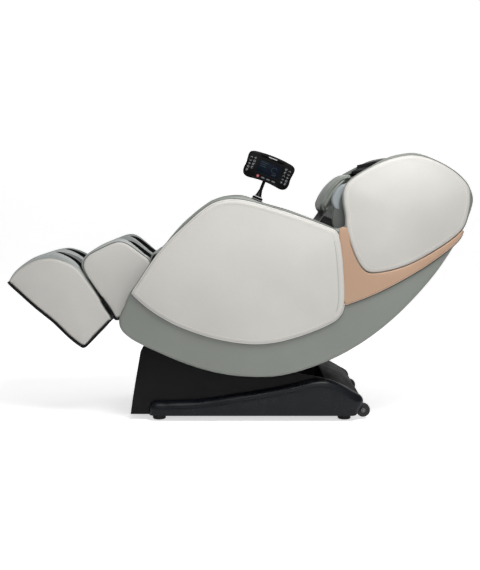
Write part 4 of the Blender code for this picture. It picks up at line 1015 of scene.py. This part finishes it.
CALF_FLOOR = [(0.050, 0.042), (0.110, 0.036), (0.165, 0.044)]       # (out, up) from the knee hinge
FOOT_FLOOR = [(0.300, 0.008), (0.350, 0.010), (0.372, 0.030), (0.392, 0.090)]
SOLE = 0.007


def to_leg(points):
    """World XZ points as (out along the shins, up from them), from the knee hinge, clockwise."""
    rel = np.asarray(points) - KNEE
    leg = np.stack([rel @ LEG_OUT, rel @ LEG_UP], 1)
    return turned_left(leg)[::-1]


def from_leg(points):
    points = np.asarray(points, float)
    return KNEE + points[:, :1] * LEG_OUT + points[:, 1:] * LEG_UP


def trough_rows(opening):
    """Stations across half a slice, from its middle out: (Y, share of the well's depth)."""
    reach = (WELL_OUT - WELL_IN) / 2 * (0.10 + 0.90 * opening)
    near, far = (WELL_IN + WELL_OUT) / 2 - reach, (WELL_IN + WELL_OUT) / 2 + reach
    shoulder = min(0.012, 0.35 * reach)
    span = far - near - 2 * shoulder
    rows = [(near * f, 0.0) for f in (0.0, 0.35, 0.70, 0.90, 1.0)]
    rows += [(near + shoulder * f, k) for f, k in ((0.1, 0.11), (0.2, 0.25), (0.55, 0.70), (1.0, 0.93))]
    rows += [(near + shoulder + span * f, 1.0 - 0.07 * (2 * f - 1) ** 2) for f in (0.2, 0.4, 0.6, 0.8)]
    fall = ((1.0, 0.93), (0.55, 0.70), (0.2, 0.25), (0.06, 0.06), (0.0, 0.0))
    rows += [(far - shoulder * f, k) for f, k in fall]
    return rows + [(far + (BLOCK_HALF - far) * f, 0.0) for f in (0.3, 0.65, 0.9, 1.0)]


def trough_body(name, ridge, well, opening, under, body):
    """Upholstered block with two wells, drawn slice by slice from the ridge line to the well line."""
    tables = [trough_rows(o) for o in opening]
    even = trough_rows(0.5)
    last = len(even) - 1
    inward = ridge.mean(0) - ridge
    inward /= np.linalg.norm(inward, axis=1)[:, None]
    order = [(-1, k) for k in range(last, 0, -1)] + [(1, k) for k in range(last + 1)]
    under_world = from_leg(under)
    rings = []
    for sign, k in order:
        wall = max(0.0, (k - WALL_EDGE) / (last - WALL_EDGE))
        rib = k / RIB_EDGE if k < RIB_EDGE else 0.0
        ring = []
        for i in range(len(ridge)):
            y, depth = tables[i][k]
            depth *= min(1.0, opening[i] * 2.5)
            p = ridge[i] + (well[i] - ridge[i]) * depth + inward[i] * CREST * (wall ** 2 + 0.5 * rib ** 2)
            x, z = from_leg([p])[0]
            ring.append((x, sign * y, z))
        rings.append(ring + [(x, sign * even[k][0], z) for x, z in under_world])
    picks = []
    for (_, one), (_, two) in zip(order, order[1:]):
        lined = LINED_FROM <= min(one, two) and max(one, two) <= LINED_TO
        picks += [int(lined and i < len(ridge) - 1 and opening[i] > 0.02) for i in range(len(rings[0]))]
    return add_mesh(name, *loft(rings), [GREY_PALE, BLACK_MESH], body, picks + [0, 0], sharp=55)


def raised_ridge(top, count):
    """The unit's top line, swollen outwards between its two ends."""
    ridge = resample(top, count)
    outward = ridge - ridge.mean(0)
    outward /= np.linalg.norm(outward, axis=1)[:, None]
    return ridge + outward * (np.sin(np.linspace(0, math.pi, count)) ** 0.5 * RIDGE_RISE)[:, None]


def well_line(ridge, tip, knots):
    """Well floor: a curve through the knots up to the tip of the well, then along the ridge."""
    return np.vstack([resample(curve_through([ridge[0]] + knots + [ridge[tip]], 10), tip + 1),
                      ridge[tip + 1:]])


def well_opening(count, tip):
    """Almond plan shape: closed at the start and at the tip, full in between."""
    t = np.clip(np.arange(count) / max(1, tip), 0, 1)
    return np.clip(np.minimum(t * 7.0, (1 - t) * 2.6), 0, 1) ** 0.6


def split_loop(loop, start, end):
    """The stretch of a closed loop from the point nearest start to the one nearest end, and the rest."""
    loop = np.roll(loop, -int(np.argmin(np.linalg.norm(loop - np.array(start), axis=1))), 0)
    j = int(np.argmin(np.linalg.norm(loop - np.array(end), axis=1)))
    return loop[:j + 1], np.vstack([loop[j:], loop[:1]])


def grow(path, amount):
    """Move an open path sideways, to its left."""
    along = np.gradient(path, axis=0)
    along /= np.linalg.norm(along, axis=1)[:, None] + 1e-9
    return path + np.stack([-along[:, 1], along[:, 0]], 1) * amount


def wrap_plate(name, path, thick, half, material, body):
    """Thin plate that follows a path in the leg's plane and spans the unit's width."""
    loop = turned_left(from_leg(np.vstack([grow(path, thick), path[::-1]])))
    rings = []
    for y, edge in ((-half, 0.0012), (-half + 0.0015, 0.0), (half - 0.0015, 0.0), (half, 0.0012)):
        rings.append([(p[0], y, p[1]) for p in inset(loop, edge)])
    return add_mesh(name, *loft(rings), [material], body)


def white_sides(unit, outline, reach, drop, crown, spread, step):
    """White skins on both sides of a leg unit: lowered along the top, less so towards the toe end."""
    facing_up = np.clip((-normals_of(outline) @ LEG_UP - 0.2) / 0.5, 0, 1)
    share = np.clip((outline[:, 0] - outline[:, 0].min()) / reach, 0.3, 1.0)
    outline = soften(inset(outline, (drop * facing_up * share)[:, None]), 2)
    body = "legrest" if unit == "calf" else "footrest"
    row = inset(outline, 0.011)
    for side, tag in SIDES:
        skin = padded_panel(f"{unit}_skin_{tag}", outline, side, UNIT_IN, 0.012, 0.008, crown, WHITE, body,
                            spread=spread, step=step)
        stand_for(skin, "white_leather", f"{unit}_side_panel_{tag}")
        stitches(f"{unit}_stitch_{tag}", lift_path(row, side, UNIT_IN + 0.0124), THREAD_WHITE, body, 0.0060,
                 0.0040, 0.0005)
    return outline


def build_calf():
    """Calf unit: upholstered block with two wells, white sides, a front plate and strap clips."""
    outline = round_corners(smooth_loop(cap_outline("calf_side_panel_right", UNIT_IN), 0.006, 50.0))
    leg = to_leg(outline)
    top, under = split_loop(leg, (0.040, 0.040), (leg[:, 0].max(), 0.040))
    count = 64
    ridge = raised_ridge(top, count)
    tip = int(np.argmin(np.abs(from_leg(ridge)[:, 0] - (outline[:, 0].min() + CALF_TIP))))
    under = resample(under, 50)
    piece = trough_body("calf_upholstery", ridge, well_line(ridge, tip, CALF_FLOOR),
                        well_opening(count, tip), under[1:-1], "legrest")
    stand_for(piece, "grey_shell", "calf_shell", "calf_pad_left", "calf_pad_right")
    bottom = int(np.argmin(from_leg(under)[:, 1]))
    wrap_plate("calf_front_plate", under[1:bottom + 1], 0.0036, UNIT_OUT - 0.0010, BLACK_SATIN, "legrest")
    corner = from_leg(under)[bottom]
    for side, tag in SIDES:
        clip = [(corner[0] + dx, side * (UNIT_OUT - 0.010), corner[1] + dz)
                for dx, dz in ((-0.010, 0.002), (-0.004, -0.004), (0.004, -0.004), (0.010, 0.003))]
        tube(f"calf_clip_{tag}", clip, 0.0040, BLACK_SATIN, "legrest", closed=False, sides=12)
    skin_line = white_sides("calf", outline, 0.10, 0.003, 0.007, 0.05, 0.014)
    for side, tag in SIDES:
        seam = lift_path(inset(skin_line, -0.0012), side, UNIT_IN + 0.0012)
        tube(f"calf_seam_{tag}", seam[::2], 0.0014, GREY_SEAM, "legrest")


def build_foot():
    """Foot unit: upholstered block with two wells, white sides that stop short of a ribbed sole."""
    outline = round_corners(smooth_loop(cap_outline("foot_side_panel_right", UNIT_IN), 0.006, 50.0), 1)
    leg = to_leg(outline)
    toe = leg[int(np.argmax(leg[:, 1] * 0.3 + leg[:, 0]))]
    top, low_path = split_loop(leg, (leg[:, 0].min(), 0.004), toe)
    count = 84
    ridge = raised_ridge(top, count)
    tip = int(np.argmin(np.abs(from_leg(ridge)[:, 0] - (outline[:, 0].min() + FOOT_TIP))))
    low_path = resample(low_path, 70)
    heel = int(np.argmin(low_path @ np.array([0.45, 0.89])))
    low_skin = grow(low_path, -np.where(np.arange(len(low_path)) <= heel, SOLE, 0.0012)[:, None])
    piece = trough_body("foot_upholstery", ridge, well_line(ridge, tip, FOOT_FLOOR),
                        well_opening(count, tip), low_skin[1:-1], "footrest")
    stand_for(piece, "grey_shell", "foot_shell", "foot_lining_left", "foot_lining_right")
    half = UNIT_OUT - 0.0005
    wrap_plate("foot_sole", grow(low_path, -SOLE + 0.0004)[:heel + 1], SOLE - 0.0004, half, BLACK_SATIN,
               "footrest")
    skin_line = turned_left(from_leg(np.vstack([resample(top, 70), low_skin[1:-1]])))
    white_sides("foot", resample(skin_line, 260, True), 0.12, 0.008, 0.008, 0.06, 0.015)
    for index, p in enumerate(from_leg(resample(low_path[6:40], 14))):
        path = [(p[0], y, p[1]) for y in np.linspace(-half + 0.02, half - 0.02, 12)]
        tube(f"sole_rib_{index:02d}", path, 0.0022, BLACK_SATIN, "footrest", closed=False)


def build_knee_flap():
    """Grey fabric flap that bridges the seat's front edge and the calf unit."""
    seat = bpy.data.objects["seat_cover"]
    low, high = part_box("seat_cushion")
    end = from_leg([(0.075, 0.050)])[0]
    path = curve_through([(low.x + 0.080, high.z - 0.011), (low.x + 0.030, high.z - 0.006),
                          (low.x - 0.018, high.z - 0.010), (low.x - 0.034, high.z - 0.045), end], 8)
    normal = np.gradient(path, axis=0)
    normal = np.stack([-normal[:, 1], normal[:, 0]], 1)
    normal *= np.sign(normal[0, 1]) / np.linalg.norm(normal, axis=1)[:, None]

    def layer_points(layer):
        """One face of the flap: folded a little, and lying on the seat where it covers it."""
        grid = []
        for i, (p, n) in enumerate(zip(path, normal)):
            row = []
            for y in np.linspace(-0.205, 0.205, 61):
                fold = 0.0022 * math.sin(y * 95.0 + i * 0.35) * math.sin(math.pi * i / (len(path) - 1))
                x, z = p + n * (layer + fold)
                if x > low.x - 0.012:
                    hit, spot, _, _ = seat.ray_cast(Vector((x, y, high.z + 0.2)), Vector((0, 0, -1)))
                    z = max(z, spot.z + 0.005 + layer) if hit else z
                row.append((x, y, z))
            grid.append(row)
        return grid

    piece = sheet("knee_flap", layer_points(0.0), layer_points(-0.004), GREY, None)
    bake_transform(piece)


# ---------------------------------------------------------------- base
def build_base():
    """Fenders with a rolled top and a square foot, and wheel hubs and screws."""
    low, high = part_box("base_side_cover_right")
    outline = round_corners(smooth_loop(cap_outline("base_side_cover_right", low.y), 0.006, 50.0), 1)
    square_below = outline.copy()
    square_below[outline[:, 1] < outline[:, 1].min() + 0.010, 1] -= 0.060
    for side, tag in SIDES:
        piece = padded_panel(f"fender_{tag}", outline, side, low.y, high.y - low.y, 0.030, 0.0, FENDER,
                             "base", step=0.015, rolled=square_below)
        stand_for(piece, "black_plastic", f"base_side_cover_{tag}")
        near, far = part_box(f"transport_wheel_{tag}")
        centre = (near + far) / 2
        face = centre.y + side * (far.y - near.y) / 2
        lathe(f"wheel_hub_{tag}", (centre.x, face - side * 0.004, centre.z), (0, side, 0),
              [(0, 0.0085), (0.0034, 0.0085), (0.0048, 0.0070), (0.0048, 0.0040), (0.0060, 0.0032),
               (0.0064, 0.0)],
              GREY_KEYS, f"wheel_{tag}", 32)
    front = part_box("base_front_cover")[0].x
    for index, y in enumerate((-0.2, 0.2)):
        lathe(f"base_screw_{index}", (front + 0.0125, y, 0.060), (-1, 0, 0.16),
              [(0, 0.0060), (0.0036, 0.0060), (0.0050, 0.0046), (0.0050, 0.0020), (0.0030, 0.0018),
               (0.0030, 0.0)],
              STEEL, "base", 24)


def finish_cad_nodes():
    """CAD nodes that show as they are drawn, with fine edges and a material each."""
    finish_nodes(BLACK_SATIN, 0.0050, 4, "base_front_cover")
    finish_nodes(DECK, 0.0030, 3, "base_rear_cover")
    finish_nodes(DARK_STEEL, 0.0012, 2, "base_frame")
    finish_nodes(RUBBER, 0.0012, 2,
                 *(f"foot_pad_{end}_{tag}" for end in ("front", "rear") for _, tag in SIDES))
    finish_nodes(RUBBER, 0.0008, 2, "transport_wheel_left", "transport_wheel_right")
    finish_nodes(DARK_STEEL, 0.0010, 2, "seat_frame", "legrest_frame", "massage_carriage",
                 "roller_arm_left", "roller_arm_right")
    finish_nodes(BLACK_SATIN, 0.0010, 2, "recline_actuator_body", "legrest_actuator_body")
    finish_nodes(STEEL, 0.0006, 2, "recline_actuator_rod", "legrest_actuator_rod", "foot_slide_frame")
    finish_nodes(AMBER, 0.0015, 3,
                 *(f"massage_roller_{level}_{tag}" for level in ("upper", "lower") for _, tag in SIDES))
    finish_nodes(BLACK_GLOSS, 0.0030, 4, "tablet_housing")
    finish_nodes(BLACK_GLOSS, 0.0012, 3, "stand_arm")
    finish_nodes(BLACK_SATIN, 0.0015, 3, "stand_base")
    finish_nodes(SCREEN, 0.0003, 2, "tablet_screen")
    finish_nodes(RED, 0.0010, 3, "power_button")
    finish_nodes(GREY_KEYS, 0.0006, 3, "tablet_key_left", "tablet_key_middle", "tablet_key_right")


# ---------------------------------------------------------------- tablet
TILT = JOINTS["tablet_tilt"]
TABLET_RIGHT = Vector(TILT["axis"]).normalized()
TABLET_UP = Vector((-TABLET_RIGHT.z, 0.0, TABLET_RIGHT.x))
TABLET_MID = Vector(TILT["pos_m"]) + TABLET_UP * 0.010
TABLET_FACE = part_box("tablet_housing")[0].y
STAND_BOOT = [(0.1232, 0.0), (0.1232, 0.0205), (0.1250, 0.0250), (0.1280, 0.0270), (0.1480, 0.0270),
              (0.1520, 0.0250), (0.1520, 0.0)]
BUMPER_HALF = [(0.0, 0.0628), (0.0300, 0.0620), (0.0600, 0.0594), (0.0850, 0.0550), (0.0958, 0.0475),
               (0.0992, 0.0370), (0.0978, 0.0180), (0.0955, -0.0060), (0.0975, -0.0120), (0.0972, -0.0300),
               (0.0915, -0.0430), (0.0800, -0.0500), (0.0660, -0.0512), (0.0460, -0.0486), (0.0, -0.0452)]
BUMPER_INSIDE = (0.0945, 0.0440, -0.0425, 0.012)        # half width, top, bottom, corner radius
BUMPER_MIDDLE = 0.003                   # its rings are drawn round this height on the middle line


def on_tablet(x, z, y):
    p = TABLET_MID + TABLET_RIGHT * x + TABLET_UP * z
    return (p.x, y, p.z)


def tablet_plate(name, shapes, front, back, material):
    """Thin raised shapes on the tablet's face, each an outline in its own plane."""
    solids = [loft([[on_tablet(x, z, y) for x, z in shape] for y in (back, front)]) for shape in shapes]
    return add_mesh(name, *merged(solids), [material], "tablet")


def ring_shapes(x, z, radius, width, start=0.0, sweep=2 * math.pi, parts=14):
    """Ring or arc as short four-sided segments."""
    shapes = []
    for k in range(parts):
        a = start + sweep * k / parts
        b = start + sweep * (k + 0.96) / parts
        shapes.append([(x + r * math.cos(t), z + r * math.sin(t))
                       for r, t in ((radius, a), (radius, b), (radius - width, b), (radius - width, a))])
    return shapes


def bar_shape(x0, z0, x1, z1, width):
    a, b = Vector((x0, z0)), Vector((x1, z1))
    side = (b - a).normalized().orthogonal() * (width / 2)
    return [tuple(a - side), tuple(b - side), tuple(b + side), tuple(a + side)]


def symbol(kind, x, z, s):
    """Generic control symbols: up, down, plus, ring, bars, dial."""
    w = s * 0.30
    if kind in (0, 1):
        tip, foot = (0.6, -0.4) if kind == 0 else (-0.6, 0.4)
        return [bar_shape(x - s, z + s * foot, x, z + s * tip, w),
                bar_shape(x, z + s * tip, x + s, z + s * foot, w)]
    if kind == 2:
        return [bar_shape(x - s, z, x + s, z, w), bar_shape(x, z - s, x, z - w / 2, w),
                bar_shape(x, z + w / 2, x, z + s, w)]
    if kind == 3:
        return ring_shapes(x, z, s, w)
    if kind == 4:
        heights = (-s * 0.7, 0, s * 0.7)
        return [bar_shape(x - s, z + d, x + s * (0.4 + 0.3 * k), z + d, w) for k, d in enumerate(heights)]
    return ring_shapes(x, z, s, w, 0.6, 4.6, 10) + [bar_shape(x, z, x, z + s, w)]


def radius_at(outline, angles):
    """Distance from the bumper's middle to a closed outline, in each direction."""
    dx, dz = resample(outline, 400, True).T
    dz = dz - BUMPER_MIDDLE
    table = np.unique(np.stack([np.arctan2(dz, dx), np.hypot(dx, dz)]), axis=1)
    return np.interp(angles, *table, period=2 * math.pi)


def rounded_frame(wide, top, bottom, corner):
    """Rounded box outline, counter-clockwise from its upper right corner."""
    points = []
    for quarter, (x, z) in enumerate(((wide, top), (-wide, top), (-wide, bottom), (wide, bottom))):
        for k in range(7):
            angle = math.pi / 2 * (quarter + k / 6)
            points.append((x - math.copysign(corner, x) + corner * math.cos(angle),
                           z - math.copysign(corner, z) + corner * math.sin(angle)))
    return np.array(points)


def build_bumper():
    """Soft bumper round the tablet: arched along the top, with a rounded grip at each lower corner."""
    mirrored = [(-x, z) for x, z in BUMPER_HALF[-2:0:-1]]
    outer = smooth_loop(np.array(BUMPER_HALF + mirrored)[::-1], 0.002, 60.0)
    angles = np.linspace(-math.pi, math.pi, 240, endpoint=False)
    far, near = radius_at(outer, angles), radius_at(rounded_frame(*BUMPER_INSIDE), angles)
    face, back = TABLET_FACE, TABLET_FACE + 0.0150
    section = [(near, 0, face + 0.0004), (near, 0.0012, face - 0.0006), (far, -0.0020, face - 0.0006),
               (far, -0.0006, face), (far, 0, face + 0.0014), (far, 0, back - 0.0020), (far, -0.0020, back),
               (near, 0, back)]
    rings = []
    for k, angle in enumerate(angles):
        reaches = [(radius[k] + shift, y) for radius, shift, y in section]
        cos, sin = math.cos(angle), math.sin(angle)
        rings.append([on_tablet(r * cos, BUMPER_MIDDLE + r * sin, y) for r, y in reaches])
    add_mesh("tablet_bumper", *loft(rings, True), [BLACK_GLOSS], "tablet", sharp=50)


def build_tablet():
    """Bumper, light bar, symbols and display graphics on the tablet, and a boot under its stand."""
    build_bumper()
    shapes = []
    for col, x in enumerate((-0.083, -0.067, 0.066, 0.082)):
        for row in range(4 if col == 1 else 5):
            z = 0.031 - row * 0.0135 - (0.002 if col in (0, 3) else 0.0)
            shapes += symbol((col * 2 + row) % 6, x, z, 0.0046)
    face = TABLET_FACE
    tablet_plate("tablet_symbols", shapes, face - 0.00035, face + 0.0002, INK)
    light_bar = bar_shape(-0.0180, 0.0530, 0.0180, 0.0530, 0.0034)
    tablet_plate("tablet_light_bar", [light_bar], face - 0.0011, face + 0.0002, INK_WHITE)
    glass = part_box("tablet_screen")[0].y
    rows = ((0.026, 0.030), (0.018, 0.022), (0.010, 0.026))
    lines = [bar_shape(-0.040, z, -0.040 + w, z, 0.0018) for z, w in rows]
    lines += ring_shapes(0.022, 0.010, 0.012, 0.0016, 0.4, 5.2, 16)
    for k in range(5):
        x = 0.012 + k * 0.005
        lines.append(bar_shape(x, -0.012, x, -0.011 + 0.002 * k, 0.0026))
    tablet_plate("screen_graphics", lines, glass - 0.0003, glass + 0.0001, INK_BLUE)
    lathe("stand_boot", TABLET_MID, -TABLET_UP, STAND_BOOT, BLACK_SATIN, "body", 36)


# ---------------------------------------------------------------- stage
FLOOR_SEEN, FLOOR_BOUNCE = 0.63, 0.26   # the floor's glow for the camera and for everything else
SKY_SEEN, SKY_LIGHT = 1.0, 0.24         # the surroundings, for the camera and for everything else
FLOOR_HALF, WALL_FAR, WALL_BEND, WALL_TOP = 9.0, 6.0, 1.5, 6.0


def build_floor():
    """Pale floor that curves up into a back wall."""
    profile = [(-FLOOR_HALF, 0.0), (WALL_FAR - WALL_BEND, 0.0)]
    for k in range(1, 13):
        angle = math.pi / 2 * k / 12
        profile.append((WALL_FAR - WALL_BEND + WALL_BEND * math.sin(angle),
                        WALL_BEND - WALL_BEND * math.cos(angle)))
    profile.append((WALL_FAR, WALL_TOP))
    verts = [(x, y, z) for y, z in profile for x in (-FLOOR_HALF, FLOOR_HALF)]
    faces = [(2 * k, 2 * k + 1, 2 * k + 3, 2 * k + 2) for k in range(len(profile) - 1)]
    g = Graph("studio_floor", 0.9)
    seen = g.node("ShaderNodeLightPath").outputs["Is Camera Ray"]
    tone = g.mix(g.fit(g.noise(2.0), 0.3, 0.7, 0.0, 1.0), (0.90, 0.90, 0.90), (0.92, 0.92, 0.92))
    g.surface({"Base Color": tone, "Emission Color": (1.0, 1.0, 1.0),
               "Emission Strength": g.fit(seen, 0.0, 1.0, FLOOR_BOUNCE, FLOOR_SEEN)})
    add_mesh("studio_floor", verts, faces, [g.material], None, recalc=False)


def add_area(name, place, target, size, power):
    lamp = bpy.data.lights.new(name, "AREA")
    lamp.shape = "RECTANGLE"
    lamp.size, lamp.size_y = size
    lamp.energy = power
    item = bpy.data.objects.new(name, lamp)
    item.location = place
    item.rotation_euler = (Vector(target) - Vector(place)).to_track_quat("-Z", "Y").to_euler()
    bpy.context.scene.collection.objects.link(item)


def build_lights():
    """White surroundings and three soft lamps."""
    world = bpy.data.worlds.new("studio")
    bpy.context.scene.world = world
    world.use_nodes = True
    tree = world.node_tree
    back = tree.nodes["Background"]
    back.inputs["Color"].default_value = (1.0, 1.0, 1.0, 1.0)
    level = tree.nodes.new("ShaderNodeMapRange")
    level.inputs["To Min"].default_value = SKY_LIGHT
    level.inputs["To Max"].default_value = SKY_SEEN
    tree.links.new(tree.nodes.new("ShaderNodeLightPath").outputs["Is Camera Ray"], level.inputs["Value"])
    tree.links.new(level.outputs["Result"], back.inputs["Strength"])
    add_area("key_top", (0.45, -1.3, 2.3), (0.35, -0.2, 0.5), (1.4, 0.9), 46.0)
    add_area("soft_front", (0.5, -3.0, 1.4), (0.3, 0, 0.5), (1.6, 1.2), 10.0)
    add_area("rim_back", (1.2, 2.2, 2.4), (0.2, 0, 0.6), (2.5, 1.5), 16.0)
    bpy.context.scene.view_settings.view_transform = "Standard"


def build_camera():
    data = bpy.data.cameras.new("camera")
    data.sensor_width = 36.0
    data.lens = 67.6
    camera = bpy.data.objects.new("camera", data)
    camera.location = (0.0125, -4.06, 0.826)
    camera.rotation_euler = (math.radians(90 - 5.10), 0.0, 0.0)
    bpy.context.scene.collection.objects.link(camera)
    bpy.context.scene.camera = camera


build_floor()
build_lights()
build_camera()
finish_cad_nodes()
build_base()
build_shells()
build_rear_shell()
build_arm_linings()
build_head_liner()
build_shoulder_pads()
build_arm_panels()
build_accents()
build_pods()
build_seat()
build_back()
build_pillow()
build_calf()
build_foot()
build_knee_flap()
build_tablet()
